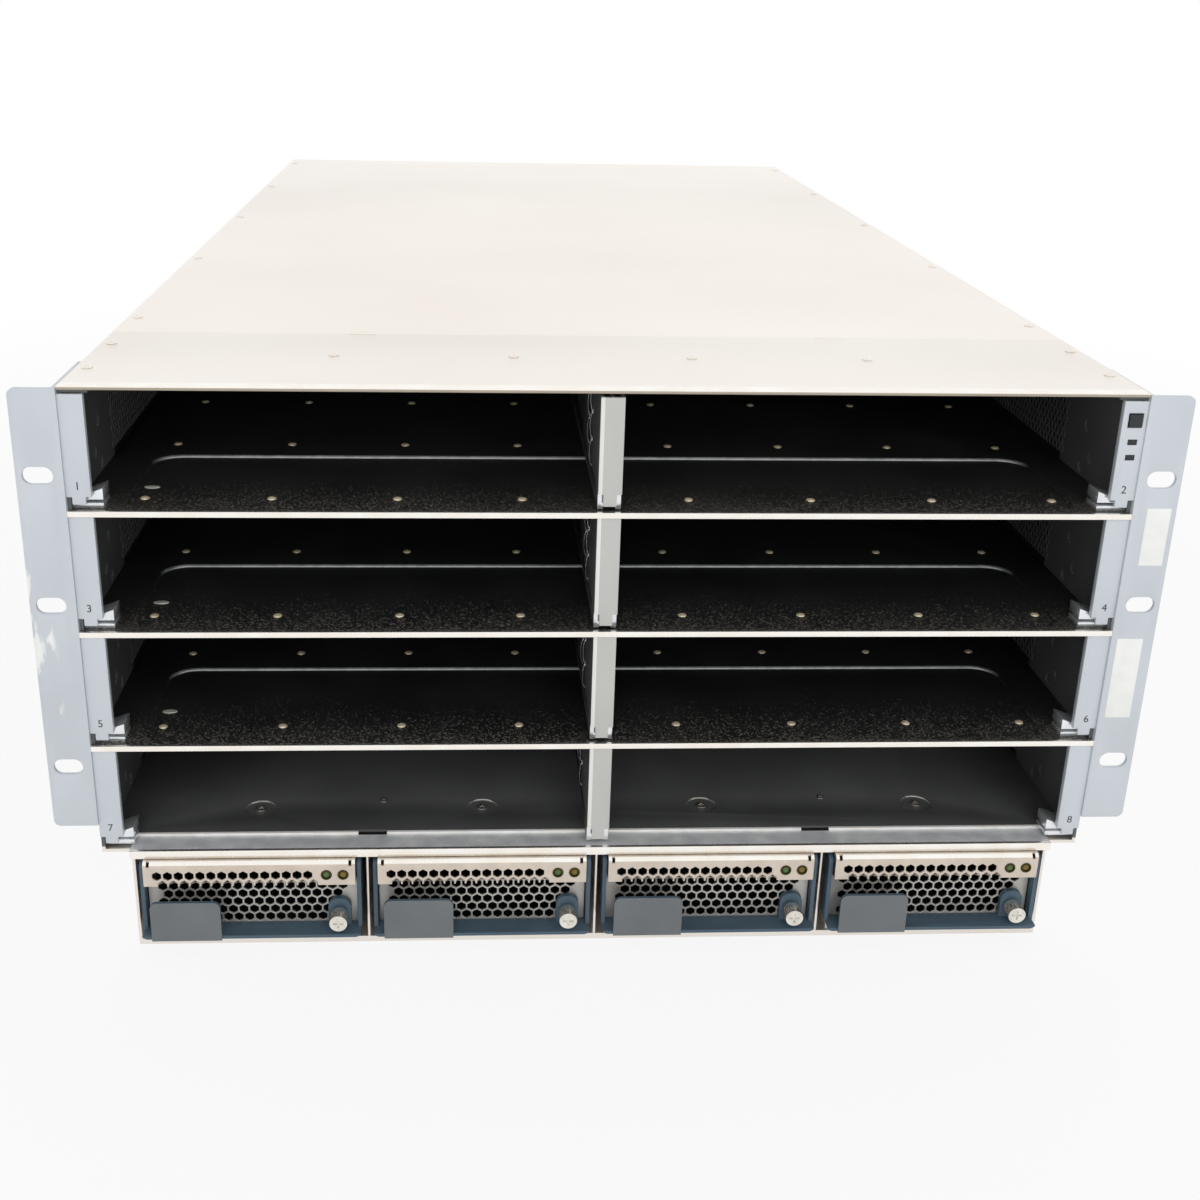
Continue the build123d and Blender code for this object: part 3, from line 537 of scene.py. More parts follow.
# Perforated liners: thin black sheets with a honeycomb of holes, spot welded inside the side panels.
# They guide the air between the rows and start behind the guide sinks.
cell = 4.2 * mm
cell_hole = 3.0 * mm
cell_radius = cell / sqrt(3)
liner_sheet, liner_lift = 0.4 * mm, 5.5 * mm
liner_columns, liner_pairs = 48, 6
row_floors = [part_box(node)[1].z for node in (*shelf_names, "blade_floor")]
inner_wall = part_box("blade_floor")[1].x
for side, side_name in ((-1, "left"), (1, "right")):
    bpy.ops.object.select_all(action="DESELECT")
    bpy.ops.mesh.primitive_circle_add(
        vertices=6, radius=cell_radius, fill_type="NGON", rotation=(radians(90), 0, radians(90))
    )
    honeycomb = bpy.context.object
    settle(honeycomb)
    start_editing(honeycomb)
    bpy.ops.mesh.inset(thickness=(cell - cell_hole) / 2)
    bpy.ops.mesh.delete(type="ONLY_FACE")
    bpy.ops.object.mode_set(mode="OBJECT")
    for count, offset in (
        (2, (0, cell / 2, 1.5 * cell_radius)),
        (liner_columns, (0, cell, 0)),
        (liner_pairs, (0, 0, 3 * cell_radius)),
    ):
        repeat = honeycomb.modifiers.new("repeat", "ARRAY")
        repeat.count = count
        repeat.use_relative_offset = False
        repeat.use_constant_offset = True
        repeat.constant_offset_displace = offset
        repeat.use_merge_vertices = True
        repeat.merge_threshold = 0.02 * mm
        bpy.ops.object.modifier_apply(modifier="repeat")
    thicken = honeycomb.modifiers.new("thicken", "SOLIDIFY")
    thicken.thickness = liner_sheet
    thicken.offset = 0.0
    bpy.ops.object.modifier_apply(modifier="thicken")
    # The liners take the black coat painted paler, as painted light.
    honeycomb.data.materials.append(coat_painted_lighter)
    liner_x = side * (inner_wall - liner_sheet / 2)
    liner_places = [Matrix.Translation((liner_x, liner_start, z + liner_lift)) for z in row_floors]
    liner = set_out(honeycomb, liner_places, f"honeycomb_liner_{side_name}")
    mount(liner, "chassis")


# Top front panel and top rear cover: plated sheet laid over the flanges and screwed down.
# Large faint clouds and a satin sheen on an almost white plating; the front panel is painted bright along
# its front as a highlight, and darker on the cut edge as shade. Two short tongues of it lap over the
# seam.
top_steel = surface(
    "zinc_plated_top", "#FAF5EE", "#F3ECE4", 260 * mm, 0.8 * mm, 0.008 * mm, (0.36, 0.42), 0.85
)
top_edge_shade = surface(
    "top_edge_painted_shade", "#B9AF9F", "#ABA191", 30 * mm, 0.8 * mm, 0.008 * mm, (0.4, 0.5), 0.4
)
highlight_depth = 7 * mm
edge_shade_depth = 1 * mm
for node in ("top_front_panel", "top_rear_cover"):
    cover = copy_of(node, node + "_sheet", top_steel)
    if node == "top_front_panel":
        cut_across(cover, (0, front + highlight_depth, 0), (0, 1, 0))
    round_edges(cover, 0.6 * mm, steps=3)
    # A painted highlight along the front of the top, and painted shade on its upright front edge.
    paint(cover, steel_highlight, lambda middle, normal: middle.y < front + highlight_depth and normal.z > 0.5)
    paint(cover, top_edge_shade, lambda middle, normal: middle.y < front + edge_shade_depth and normal.z <= 0.5)
    mount(cover, "chassis")

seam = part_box("top_front_panel")[1].y
top_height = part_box("top_front_panel")[1].z
bpy.ops.object.select_all(action="DESELECT")
bpy.ops.mesh.primitive_cube_add(size=1.0, location=(0, 0, 0))
tongue = bpy.context.object
tongue.data.materials.append(top_steel)
tongue.scale = (12 * mm, 4 * mm, 0.3 * mm)
settle(tongue)
round_edges(tongue, 0.12 * mm)
tongue_places = [Matrix.Translation((x * mm, seam, top_height + 0.1 * mm)) for x in (-108, 110)]
tongues = set_out(tongue, tongue_places, "seam_tongues")
mount(tongues, "chassis")


# Rack ears: steel angles in silver metallic paint, screwed to the side panels.
# The paint is a cool pale grey with fine flake; rails and old tape have scuffed the left ear.
silver_paint = surface(
    "silver_metallic_paint", "#D3D9DF", "#CAD0D6", 50 * mm, 0.5 * mm, 0.015 * mm, (0.36, 0.48), 0.2
)
scuffed_paint = surface(
    "scuffed_silver_paint", "#D3D9DF", "#CAD0D6", 50 * mm, 0.5 * mm, 0.015 * mm, (0.36, 0.48), 0.2
)
scuff_place = add_node(scuffed_paint, "ShaderNodeTexCoord").outputs["Object"]
scuff_axes = add_node(scuffed_paint, "ShaderNodeSeparateXYZ", {"Vector": scuff_place}).outputs
scuff_stretch = add_node(
    scuffed_paint, "ShaderNodeMapping", {"Vector": scuff_place, "Scale": (1.0, 1.0, 0.3)}
).outputs["Vector"]
scuff_marks = add_node(
    scuffed_paint, "ShaderNodeTexNoise", {"Vector": scuff_stretch, "Scale": 1 / (7 * mm), "Detail": 6.0}
).outputs["Fac"]
scuff_marks = add_node(
    scuffed_paint, "ShaderNodeMapRange", {"Value": scuff_marks, "From Min": 0.56, "From Max": 0.62}
).outputs["Result"]
# The marks lie between two heights and towards the outer edge.
for axis, place, fade in (("Z", 117 * mm, 6 * mm), ("Z", 201 * mm, -6 * mm), ("X", -231 * mm, -3 * mm)):
    inside = add_node(
        scuffed_paint, "ShaderNodeMapRange",
        {"Value": scuff_axes[axis], "From Min": place, "From Max": place + fade},
    ).outputs["Result"]
    scuff_marks = add_node(
        scuffed_paint, "ShaderNodeMath", {0: scuff_marks, 1: inside}, operation="MULTIPLY"
    ).outputs[0]
lay_over(scuffed_paint, scuff_marks, "#F6F6F5")
for node, finish in (("rack_ear_left", scuffed_paint), ("rack_ear_right", silver_paint)):
    ear = copy_of(node, node + "_sheet", finish)
    round_edges(ear, 0.4 * mm)
    mount(ear, "chassis")


# Labels on the right ear: two blank paper stickers, one above and one below the middle slot.
# They are glued on, and matt paper gives a soft white without a shine.
label_paper = surface(
    "white_label_paper", "#FBFBF9", "#F3F3F0", 8 * mm, 0.3 * mm, 0.01 * mm, (0.55, 0.7)
)
label_sheet = 0.12 * mm
for name, (low_x, high_x), (low_z, high_z) in (
    ("upper_ear_label", (228.5, 239.0), (190.0, 216.0)),
    ("lower_ear_label", (225.0, 236.5), (117.0, 155.5)),
):
    bpy.ops.object.select_all(action="DESELECT")
    middle = ((low_x + high_x) / 2 * mm, front - label_sheet / 2, (low_z + high_z) / 2 * mm)
    bpy.ops.mesh.primitive_cube_add(size=1.0, location=middle)
    label = bpy.context.object
    label.name = name
    label.data.materials.append(label_paper)
    label.scale = ((high_x - low_x) * mm, label_sheet, (high_z - low_z) * mm)
    settle(label)
    round_edges(label, 0.05 * mm)
    mount(label, "chassis")


# Slot posts: folded angles in the same silver paint, one at each outer corner of a slot row.
# They are riveted to the side panels. Each bears the number of its slot in matt dark ink.
posts = copy_of("slot_posts", "slot_post_sheets", silver_paint)
round_edges(posts, 0.3 * mm)
mount(posts, "chassis")

number_ink = surface(
    "slot_number_ink", "#3C3F43", "#33363A", 2 * mm, 0.3 * mm, 0.005 * mm, (0.5, 0.6)
)
post_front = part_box("slot_posts")[0].y
digit_x, digit_lift, digit_size = 217.3 * mm, 10.5 * mm, 4.9 * mm
digits = []
for row, row_floor in enumerate(row_floors):
    for side in (-1, 1):
        bpy.ops.object.select_all(action="DESELECT")
        bpy.ops.object.text_add(
            location=(side * digit_x, post_front - 0.04 * mm, row_floor + digit_lift),
            rotation=(radians(90), 0, 0),
        )
        digit = bpy.context.object
        digit.data.body = str(2 * row + (1 if side < 0 else 2))
        digit.data.size = digit_size
        digit.data.extrude = 0.02 * mm
        digit.data.align_x = "CENTER"
        digit.data.align_y = "CENTER"
        bpy.ops.object.convert(target="MESH")
        digits.append(bpy.context.object)
only(digits[0])
for digit in digits:
    digit.select_set(True)
bpy.ops.object.join()
slot_numbers = digits[0]
slot_numbers.name = "slot_numbers"
slot_numbers.data.materials.clear()
slot_numbers.data.materials.append(number_ink)
settle(slot_numbers)
mount(slot_numbers, "chassis")


# Locator button and status windows of the upper right post: a black plastic key and smoked lenses.
# The button slides in its hole, the lenses are pressed into the post. The moulded key is matt with
# a fine grain, the polished lenses mirror a little.
black_plastic = surface(
    "black_moulded_plastic", "#2A2C2E", "#232527", 20 * mm, 0.4 * mm, 0.03 * mm, (0.38, 0.5)
)
button = copy_of("beacon_button", "beacon_button_key", black_plastic)
round_edges(button, 0.4 * mm, steps=3)
mount(button, "beacon_button")

smoked_lens = surface(
    "smoked_lens_plastic", "#26292C", "#1E2124", 4 * mm, 0.4 * mm, 0.005 * mm, (0.12, 0.2)
)
bpy.ops.object.select_all(action="DESELECT")
bpy.ops.mesh.primitive_cube_add(size=1.0, location=(0, 0, 0))
lens = bpy.context.object
lens.data.materials.append(smoked_lens)
lens.scale = (3.9 * mm, 0.65 * mm, 2.3 * mm)
settle(lens)
round_edges(lens, 0.15 * mm)
window_x, window_heights = 217.65 * mm, (244.8 * mm, 238.1 * mm)
window_y = post_front + 0.4 * mm
window_places = [Matrix.Translation((window_x, window_y, z)) for z in window_heights]
lenses = set_out(lens, window_places, "status_lenses")
mount(lenses, "chassis")


# Ejector catches: steel stampings that the levers of a blade hook on to, riveted to the posts.
# Their nickel plate gives sharp, bright reflections.
bright_nickel = surface(
    "bright_nickel_plate", "#F4F6F8", "#DFE3E7", 6 * mm, 0.8 * mm, 0.01 * mm, (0.12, 0.22), 0.75
)
catches = copy_of("ejector_catches", "ejector_catch_stampings", bright_nickel)
round_edges(catches, 0.25 * mm)
mount(catches, "chassis")


# Slot dividers: removable black sheets with a light front post and bare hooks at the foot.
# The post is a folded box in matt pale paint, and the fold on its left catches the light, painted lighter
# as a highlight.
# Bowed nickel plated spring fingers on its left cheek earth the blade that slides past them.
post_paint = surface(
    "pale_post_paint", "#C9C9C6", "#C1C1BD", 40 * mm, 0.5 * mm, 0.015 * mm, (0.36, 0.48), 0.2
)
post_edge_highlight = surface(
    "post_edge_painted_highlight", "#F0F0EC", "#E6E6E1", 40 * mm, 0.5 * mm, 0.015 * mm, (0.36, 0.48), 0.2
)
post_sheet = 2.6 * mm
edge_x = -3.3 * mm
foot_half = 2.9 * mm
hook_height, hook_back = 7.3 * mm, 18.2 * mm
cheek_x = -4.95 * mm
finger_y = (front + 40 * mm, front + 54 * mm)
finger_bow, finger_width, finger_half = 1.2 * mm, 9.0 * mm, 5.8 * mm
finger_pitch, finger_lift, finger_margin = 6.2 * mm, 14 * mm, 22 * mm
for row in range(1, 5):
    node = f"slot_divider_{row}"
    # The divider's sheet takes the black coat painted paler, as painted light.
    divider = copy_of(node, node + "_sheet", coat_painted_lighter)
    foot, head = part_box(node)[0].z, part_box(node)[1].z
    cut_across(divider, (0, front + post_sheet, 0), (0, 1, 0))
    cut_across(divider, (edge_x, 0, 0), (1, 0, 0))
    cut_across(divider, (0, 0, foot + hook_height), (0, 0, 1))
    round_edges(divider, 0.3 * mm)
    paint(divider, post_paint, lambda middle, normal: middle.y < front + post_sheet)
    # The fold on the left of the post is painted lighter as a highlight.
    paint(
        divider, post_edge_highlight,
        lambda middle, normal: middle.y < front + post_sheet and middle.x < edge_x,
    )
    paint(
        divider, bright_nickel,
        lambda middle, normal: middle.y < front + hook_back and middle.z < foot + hook_height
        and abs(middle.x) > foot_half - 0.4 * mm and middle.y > front + post_sheet,
    )
    mount(divider, node)

    bpy.ops.object.select_all(action="DESELECT")
    bpy.ops.mesh.primitive_torus_add(
        major_segments=32, minor_segments=10, major_radius=1.0, minor_radius=0.14,
        rotation=(radians(90), 0, 0),
    )
    finger = bpy.context.object
    settle(finger)
    start_editing(finger)
    bpy.ops.mesh.bisect(plane_co=(0, 0, 0), plane_no=(1, 0, 0), use_fill=True, clear_outer=True)
    bpy.ops.object.mode_set(mode="OBJECT")
    finger.data.materials.append(bright_nickel)
    finger.scale = (finger_bow, finger_width, finger_half)
    settle(finger)
    bpy.ops.object.shade_smooth_by_angle(angle=radians(60))
    finger_count = int((head - foot - finger_margin) / finger_pitch) + 1
    finger_places = [
        Matrix.Translation((cheek_x, finger_y[n % 2], foot + finger_lift + n * finger_pitch))
        for n in range(finger_count)
    ]
    strip = set_out(finger, finger_places, f"slot_divider_{row}_springs")
    mount(strip, node)


# Midplane and power board: green glass fibre boards with black plugs for blades and supplies.
# They stand in slots of the side panels, with windows through which the fans draw air.
# The lacquer gives a deep green with half a gloss.
board_green = surface(
    "green_circuit_board", "#1F4A33", "#183C29", 14 * mm, 0.5 * mm, 0.02 * mm, (0.35, 0.45)
)
boards = copy_of("midplane", "midplane_boards", board_green)
board_sheet, board_slack = 3.2 * mm, 0.1 * mm
board_fronts = (front + 615 * mm, front + 580 * mm)
round_edges(boards, 0.2 * mm)
paint(
    boards, black_plastic,
    lambda middle, normal: not any(
        start - board_slack < middle.y < start + board_sheet + board_slack for start in board_fronts
    ),
)
mount(boards, "chassis")


# Rear bay frame: partitions and fan shelves that part the rear bays and guide their modules.
# They are of the same plated sheet, folded and riveted between midplane and rear edge.
rear_frame = copy_of("rear_bay_frame", "rear_bay_sheets", plated_steel)
round_edges(rear_frame, 0.25 * mm)
mount(rear_frame, "chassis")


# Fasteners: brassy domed rivets on the shelves and cross recessed pan head screws elsewhere.
# Each one is set at the head of the solid it stands for. Yellow plating makes the rivets look
# brassy; the screws are zinc plated, and those of the top hardly show on its sheet.
def heads_of(node):
    """Lowest and highest corner of each separate head in a node."""
    before = set(scene.objects)
    loose = bpy.data.objects.new("loose_heads", frame["nodes"][node].data.copy())
    scene.collection.objects.link(loose)
    start_editing(loose)
    bpy.ops.mesh.remove_doubles(threshold=0.002 * mm)
    bpy.ops.mesh.separate(type="LOOSE")
    bpy.ops.object.mode_set(mode="OBJECT")
    boxes = []
    for head in set(scene.objects) - before:
        spans = [[vertex.co[axis] for vertex in head.data.vertices] for axis in range(3)]
        boxes.append((Vector([min(span) for span in spans]), Vector([max(span) for span in spans])))
        bpy.data.objects.remove(head)
    return sorted(boxes, key=lambda box: tuple(box[0]))


def cut_out(piece, tool):
    """Takes the shape of a tool out of a piece."""
    only(piece)
    cut = piece.modifiers.new("cut", "BOOLEAN")
    cut.object = tool
    cut.solver = "EXACT"
    bpy.ops.object.modifier_apply(modifier="cut")
    bpy.data.objects.remove(tool)


def cross_tool(width, length, depth):
    """Two crossed bars standing on the ground, the shape of a driver's tip."""
    bars = []
    for size in ((width, length, 2 * depth), (length, width, 2 * depth)):
        bpy.ops.object.select_all(action="DESELECT")
        bpy.ops.mesh.primitive_cube_add(size=1.0, location=(0, 0, 0))
        bar = bpy.context.object
        bar.scale = size
        settle(bar)
        bars.append(bar)
    joined = bars[0].modifiers.new("joined", "BOOLEAN")
    joined.operation = "UNION"
    joined.object = bars[1]
    only(bars[0])
    bpy.ops.object.modifier_apply(modifier="joined")
    bpy.data.objects.remove(bars[1])
    return bars[0]


rivet_brass = surface(
    "brassy_rivet_steel", "#F6E9CF", "#E8D6B2", 3 * mm, 0.4 * mm, 0.01 * mm, (0.22, 0.34), 0.35
)
screw_steel = surface(
    "zinc_screw_steel", "#E2DCD3", "#CEC7BC", 3 * mm, 0.4 * mm, 0.01 * mm, (0.28, 0.4), 0.9
)
rivet_places, screw_places = [], []
for low, high in heads_of("fasteners"):
    size = high - low
    base = (low + high) / 2
    if size.x < 1 * mm:
        side = 1 if base.x > 0 else -1
        base.x -= side * size.x / 2
        screw_places.append(Matrix.Translation(base) @ Matrix.Rotation(side * radians(90), 4, "Y"))
        continue
    base.z = low.z
    places = rivet_places if size.z > 0.7 * mm else screw_places
    places.append(Matrix.Translation(base))

bpy.ops.object.select_all(action="DESELECT")
bpy.ops.mesh.primitive_uv_sphere_add(segments=20, ring_count=10, radius=2.0 * mm, location=(0, 0, 0))
rivet = bpy.context.object
start_editing(rivet)
bpy.ops.mesh.bisect(plane_co=(0, 0, 0), plane_no=(0, 0, 1), use_fill=True, clear_inner=True)
bpy.ops.object.mode_set(mode="OBJECT")
rivet.scale.z = 0.45
settle(rivet)
rivet.data.materials.append(rivet_brass)
bpy.ops.object.shade_smooth_by_angle(angle=radians(50))
rivets = set_out(rivet, rivet_places, "shelf_rivets")
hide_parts("fasteners")
mount(rivets, "chassis")

bpy.ops.object.select_all(action="DESELECT")
head_radius, head_height = 2.4 * mm, 0.7 * mm
bpy.ops.mesh.primitive_cylinder_add(
    vertices=32, radius=head_radius, depth=head_height, location=(0, 0, head_height / 2)
)
screw = bpy.context.object
settle(screw)
screw.data.materials.append(screw_steel)
tip = cross_tool(0.6 * mm, 2.6 * mm, 0.4 * mm)
tip.location.z = head_height
settle(tip)
cut_out(screw, tip)
round_edges(screw, 0.12 * mm)
small_places = [
    Matrix.Translation((x * mm, front + 40 * mm, row_floors[-1])) @ Matrix.Scale(0.7, 4)
    for x in (-99, 111)
]
screws = set_out(screw, screw_places + small_places, "machine_screws")
paint(screws, top_steel, lambda middle, normal: middle.z > top_height - 0.1 * mm)
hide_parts("fasteners")
mount(screws, "chassis")


# Power supplies: a plated case, painted dark inside as shade, behind a punched front of satin nickel
# plate.
# The front is folded from one sheet, with a plate above and a mesh set back below it.
# The plate has a warm, soft sheen, and the mesh, which lies deeper, is painted greyer as shade.
satin_nickel = surface(
    "satin_nickel_plate", "#DFD3C6", "#D0C3B5", 10 * mm, 0.4 * mm, 0.01 * mm, (0.34, 0.46), 0.6
)
mesh_shade_nickel = surface(
    "nickel_mesh_painted_shade", "#C9C6C1", "#B5B2AD", 10 * mm, 0.4 * mm, 0.01 * mm, (0.36, 0.48), 0.6
)
mesh_back = 4.5 * mm
fold = 2.0 * mm
# Near black for the inside of cases, painted as shade.
inside_shade = surface(
    "case_inside_painted_shade", "#0C0D0E", "#070708", 30 * mm, 0.8 * mm, 0.02 * mm, (0.6, 0.8)
)
supplies = range(1, 5)
skin = 0.05 * mm
for supply in supplies:
    body = f"psu_{supply}"
    # The case sheets are painted dark as shade, all but their outer skin.
    case = copy_of(f"{body}_case", f"{body}_case_sheets", inside_shade)
    low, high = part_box(f"{body}_case")
    paint(
        case, plated_steel,
        lambda middle, normal: min(middle.x - low.x, high.x - middle.x, high.y - middle.y) < skin
        or (min(middle.z - low.z, high.z - middle.z) < skin and abs(normal.z) > 0.5),
    )
    round_edges(case, 0.15 * mm)
    mount(case, body)
    face = copy_of(f"{body}_face", f"{body}_face_plate", satin_nickel)
    # The mesh is painted greyer as shade.
    paint(face, mesh_shade_nickel, lambda middle, normal: middle.y > front + mesh_back)
    # The rolled top edge of the plate is painted bright as a highlight.
    paint(face, steel_highlight, lambda middle, normal: normal.y < -0.5 and normal.z > 0.5)
    face_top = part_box(f"{body}_face")[1].z
    # Back faces, the fold's underside and the step under the plate are painted dark as shade.
    paint(
        face, inside_shade,
        lambda middle, normal: normal.y > 0.5 or (normal.z < -0.5 and middle.z > face_top - fold)
        or (
            normal.z > 0.5 and middle.z < face_top - fold
            and front - fold < middle.y < front + mesh_back
        ),
    )
    round_edges(face, 0.12 * mm, steps=1)
    mount(face, body)


# Status lamps of the supplies: clear domes in brass bezels, a green and an amber one on each plate.
# They are clipped into round holes and are off, so the tinted plastic looks dark.
bezel_brass = surface(
    "dull_brass_bezel", "#4F4722", "#3E381B", 2 * mm, 0.3 * mm, 0.01 * mm, (0.3, 0.42), 0.7
)
green_lens = surface(
    "green_lamp_plastic", "#56763A", "#44612E", 2 * mm, 0.3 * mm, 0.005 * mm, (0.1, 0.18)
)
amber_lens = surface(
    "amber_lamp_plastic", "#7F6A1E", "#6B5818", 2 * mm, 0.3 * mm, 0.005 * mm, (0.1, 0.18)
)
lamp_offsets = (34.3 * mm, 41.8 * mm)
lamp_height, lamp_radius, bezel_radius = 40.9 * mm, 1.75 * mm, 2.4 * mm
plate_front = front - 2.9 * mm
facing_front = Matrix.Rotation(radians(90), 4, "X")
for supply in supplies:
    body = f"psu_{supply}"
    case_low, case_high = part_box(f"{body}_case")
    middle_x = (case_low.x + case_high.x) / 2
    lamp_places = [
        Matrix.Translation((middle_x + offset, plate_front, lamp_height)) @ facing_front
        for offset in lamp_offsets
    ]
    bpy.ops.object.select_all(action="DESELECT")
    bpy.ops.mesh.primitive_cylinder_add(
        vertices=32, radius=bezel_radius, depth=1.6 * mm, location=(0, 0, -0.3 * mm)
    )
    bezel = bpy.context.object
    settle(bezel)
    bpy.ops.object.select_all(action="DESELECT")
    bpy.ops.mesh.primitive_cylinder_add(
        vertices=32, radius=lamp_radius, depth=3 * mm, location=(0, 0, 0)
    )
    cut_out(bezel, bpy.context.object)
    bezel.data.materials.append(bezel_brass)
    round_edges(bezel, 0.15 * mm)
    bezels = set_out(bezel, lamp_places, f"{body}_lamp_bezels")
    mount(bezels, body)
    for name, finish, place in zip(("power", "fault"), (green_lens, amber_lens), lamp_places):
        bpy.ops.object.select_all(action="DESELECT")
        bpy.ops.mesh.primitive_uv_sphere_add(
            segments=24, ring_count=12, radius=lamp_radius, location=(0, 0, 0)
        )
        dome = bpy.context.object
        start_editing(dome)
        bpy.ops.mesh.bisect(plane_co=(0, 0, 0), plane_no=(0, 0, 1), use_fill=True, clear_inner=True)
        bpy.ops.object.mode_set(mode="OBJECT")
        dome.scale.z = 0.6
        settle(dome)
        dome.data.materials.append(finish)
        bpy.ops.object.shade_smooth_by_angle(angle=radians(50))
        lamp = set_out(dome, [place @ Matrix.Translation((0, 0, -0.6 * mm))], f"{body}_{name}_lamp")
        mount(lamp, body)


# Bail handles: moulded blue-grey nylon, each swinging on two pins in the cheeks of its supply.
# The grab tab and the screw boss are part of the moulding. Nylon is matt with a fine grain, and the front
# face of the tab is painted paler grey as a highlight.
blue_grey_nylon = surface(
    "blue_grey_nylon", "#4D6270", "#435665", 25 * mm, 0.5 * mm, 0.05 * mm, (0.42, 0.55)
)
tab_highlight_nylon = surface(
    "nylon_tab_painted_highlight", "#74797C", "#696E71", 25 * mm, 0.5 * mm, 0.05 * mm, (0.42, 0.55)
)
for supply in supplies:
    node = f"psu_{supply}_handle"
    handle = copy_of(node, node + "_moulding", blue_grey_nylon)
    round_edges(handle, 0.45 * mm, steps=3)
    tab_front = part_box(node)[0].y
    # The tab's front face is painted paler as a highlight.
    paint(handle, tab_highlight_nylon, lambda middle, normal: normal.y < -0.9 and middle.y < tab_front + 0.1 * mm)
    mount(handle, node)


# Captive thumbscrews: turned and knurled steel with a cross recess, held in the boss of the handle.
# Their nickel plate is bright with a warm tinge.
screw_nickel = surface(
    "nickel_plated_screw", "#EDEAE2", "#DAD6CC", 4 * mm, 0.3 * mm, 0.01 * mm, (0.16, 0.28), 0.9
)
for supply in supplies:
    node = f"psu_{supply}_thumbscrew"
    thumbscrew = copy_of(node, node + "_turned", screw_nickel)
    low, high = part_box(node)
    tip = cross_tool(0.9 * mm, 4.6 * mm, 0.9 * mm)
    tip.rotation_euler = (radians(90), 0, 0)
    tip.location = ((low.x + high.x) / 2, low.y, (low.z + high.z) / 2)
    settle(tip)
    cut_out(thumbscrew, tip)
    round_edges(thumbscrew, 0.1 * mm, steps=1)
    mount(thumbscrew, node)


# Fan modules: black moulded housings that slide into the rear bays, with guard, strut and pull tab.
# The impeller turns on the shaft of the motor mount. Its plastic is smoother than the housing's.
impeller_plastic = surface(
    "dark_impeller_plastic", "#3B3E41", "#323538", 15 * mm, 0.4 * mm, 0.02 * mm, (0.35, 0.45)
)
for fan in range(1, 9):
    housing = copy_of(f"fan_{fan}_module", f"fan_{fan}_housing", black_plastic)
    round_edges(housing, 0.5 * mm)
    mount(housing, f"fan_{fan}")
    wheel = copy_of(f"fan_{fan}_impeller", f"fan_{fan}_wheel", impeller_plastic)
    round_edges(wheel, 0.4 * mm)
    mount(wheel, f"fan_{fan}_impeller")


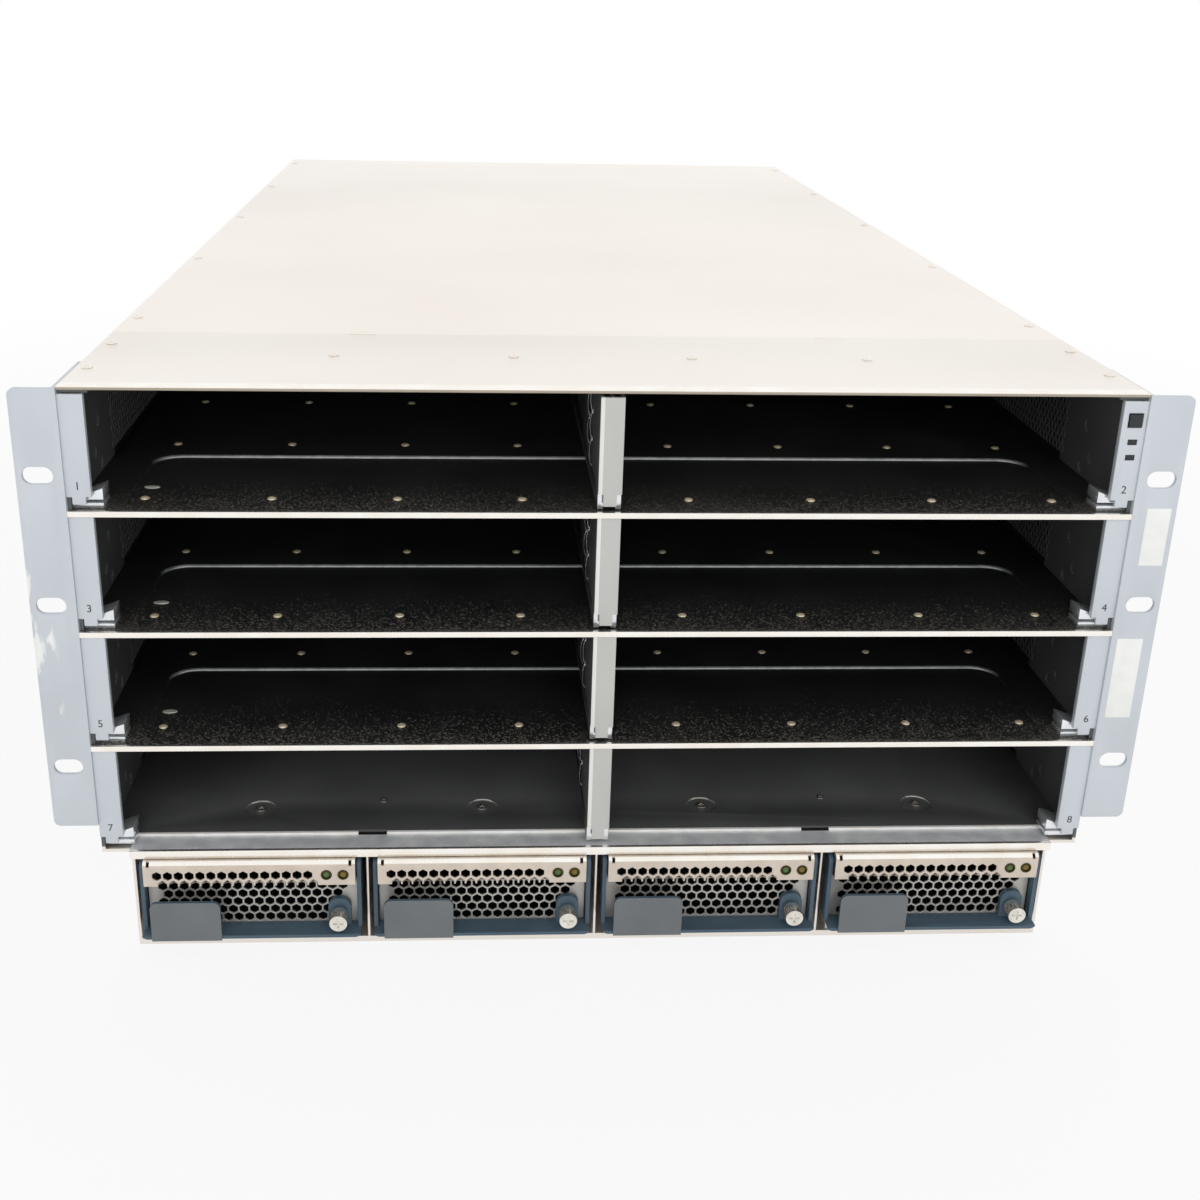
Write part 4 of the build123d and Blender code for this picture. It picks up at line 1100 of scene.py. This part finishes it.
# Input and output modules: plated boxes with four ports, a link lamp by each, and an ejector lever.
# Each port has a bright spring cage round its mouth; the lever is moulded plastic on a cross pin.
# The boxes are satin zinc, greyer than the sheets around them.
lever_plastic = surface(
    "dark_lever_plastic", "#3F474B", "#363D41", 15 * mm, 0.4 * mm, 0.03 * mm, (0.4, 0.5)
)
box_zinc = surface(
    "satin_zinc_box", "#C6C4C0", "#B6B3AE", 40 * mm, 0.6 * mm, 0.01 * mm, (0.38, 0.5), 0.7
)
port_half_x, port_half_z = 7.25 * mm, 5.0 * mm
cage_wall = 1.0 * mm
port_drop, port_pitch, port_count = 30 * mm, 24 * mm, 4
link_offset = 12 * mm
box_wall = 1 * mm
for module in (1, 2):
    body = f"io_module_{module}"
    box = copy_of(body, body + "_box", box_zinc)
    low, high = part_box(body)
    middle_x = (low.x + high.x) / 2
    io_back = high.y
    # Inside, the box is painted dark as shade.
    paint(
        box, inside_shade,
        lambda middle, normal: low.x + box_wall < middle.x < high.x - box_wall
        and low.z + box_wall < middle.z < high.z - box_wall
        and low.y + box_wall < middle.y < io_back - 0.1 * mm,
    )
    round_edges(box, 0.3 * mm)
    mount(box, body)
    ports = [Vector((middle_x, io_back, high.z - port_drop - n * port_pitch)) for n in range(port_count)]
    bpy.ops.object.select_all(action="DESELECT")
    bpy.ops.mesh.primitive_cube_add(size=1.0, location=(0, 0, 0))
    cage = bpy.context.object
    cage.scale = (2 * (port_half_x + cage_wall), 0.8 * mm, 2 * (port_half_z + cage_wall))
    settle(cage)
    bpy.ops.object.select_all(action="DESELECT")
    bpy.ops.mesh.primitive_cube_add(size=1.0, location=(0, 0, 0))
    mouth = bpy.context.object
    mouth.scale = (2 * port_half_x, 4 * mm, 2 * port_half_z)
    settle(mouth)
    cut_out(cage, mouth)
    cage.data.materials.append(bright_nickel)
    round_edges(cage, 0.25 * mm)
    cages = set_out(cage, [Matrix.Translation(port) for port in ports], f"{body}_port_cages")
    mount(cages, body)
    bpy.ops.object.select_all(action="DESELECT")
    bpy.ops.mesh.primitive_uv_sphere_add(
        segments=16, ring_count=8, radius=1.3 * mm, location=(0, 0, 0)
    )
    link = bpy.context.object
    start_editing(link)
    bpy.ops.mesh.bisect(plane_co=(0, 0, 0), plane_no=(0, 1, 0), use_fill=True, clear_inner=True)
    bpy.ops.object.mode_set(mode="OBJECT")
    link.scale.y = 0.6
    settle(link)
    link.data.materials.append(green_lens)
    bpy.ops.object.shade_smooth_by_angle(angle=radians(50))
    link_places = [Matrix.Translation(port + Vector((link_offset, 0, 0))) for port in ports]
    links = set_out(link, link_places, f"{body}_link_lamps")
    mount(links, body)
    lever = copy_of(f"io_lever_{module}", f"io_lever_{module}_moulding", lever_plastic)
    round_edges(lever, 0.5 * mm, steps=3)
    mount(lever, f"io_lever_{module}")


# Power inlets: a plated rear panel with four recessed three pin inlets of black plastic.
# The pins are nickel plated blades moulded into the inlet.
inlets = copy_of("power_inlets", "power_inlet_panel", black_plastic)
round_edges(inlets, 0.25 * mm)
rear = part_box("top_rear_cover")[1].y
inlet_z = (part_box("power_inlets")[0].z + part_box("power_inlets")[1].z) / 2
inlet_middles = [
    sum((corner.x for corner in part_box(f"psu_{supply}_case")), 0.0) / 2 for supply in supplies
]
panel_reach = 4 * mm
flange_half_x, flange_half_z = 18.1 * mm, 15.1 * mm
paint(
    inlets, plated_steel,
    lambda middle, normal: middle.y > rear - panel_reach and (
        min(abs(middle.x - x) for x in inlet_middles) > flange_half_x
        or abs(middle.z - inlet_z) > flange_half_z
    ),
)
pin_offsets = (-7 * mm, 0.0, 7 * mm)
pin_root, pin_end = rear - 18.1 * mm, rear - 5.9 * mm
pin_half_x, pin_half_z = 1.3 * mm, 7 * mm
paint(
    inlets, bright_nickel,
    lambda middle, normal: pin_root < middle.y < pin_end and any(
        abs(middle.x - x - offset) < pin_half_x for x in inlet_middles for offset in pin_offsets
    ) and abs(middle.z - inlet_z) < pin_half_z,
)
mount(inlets, "chassis")
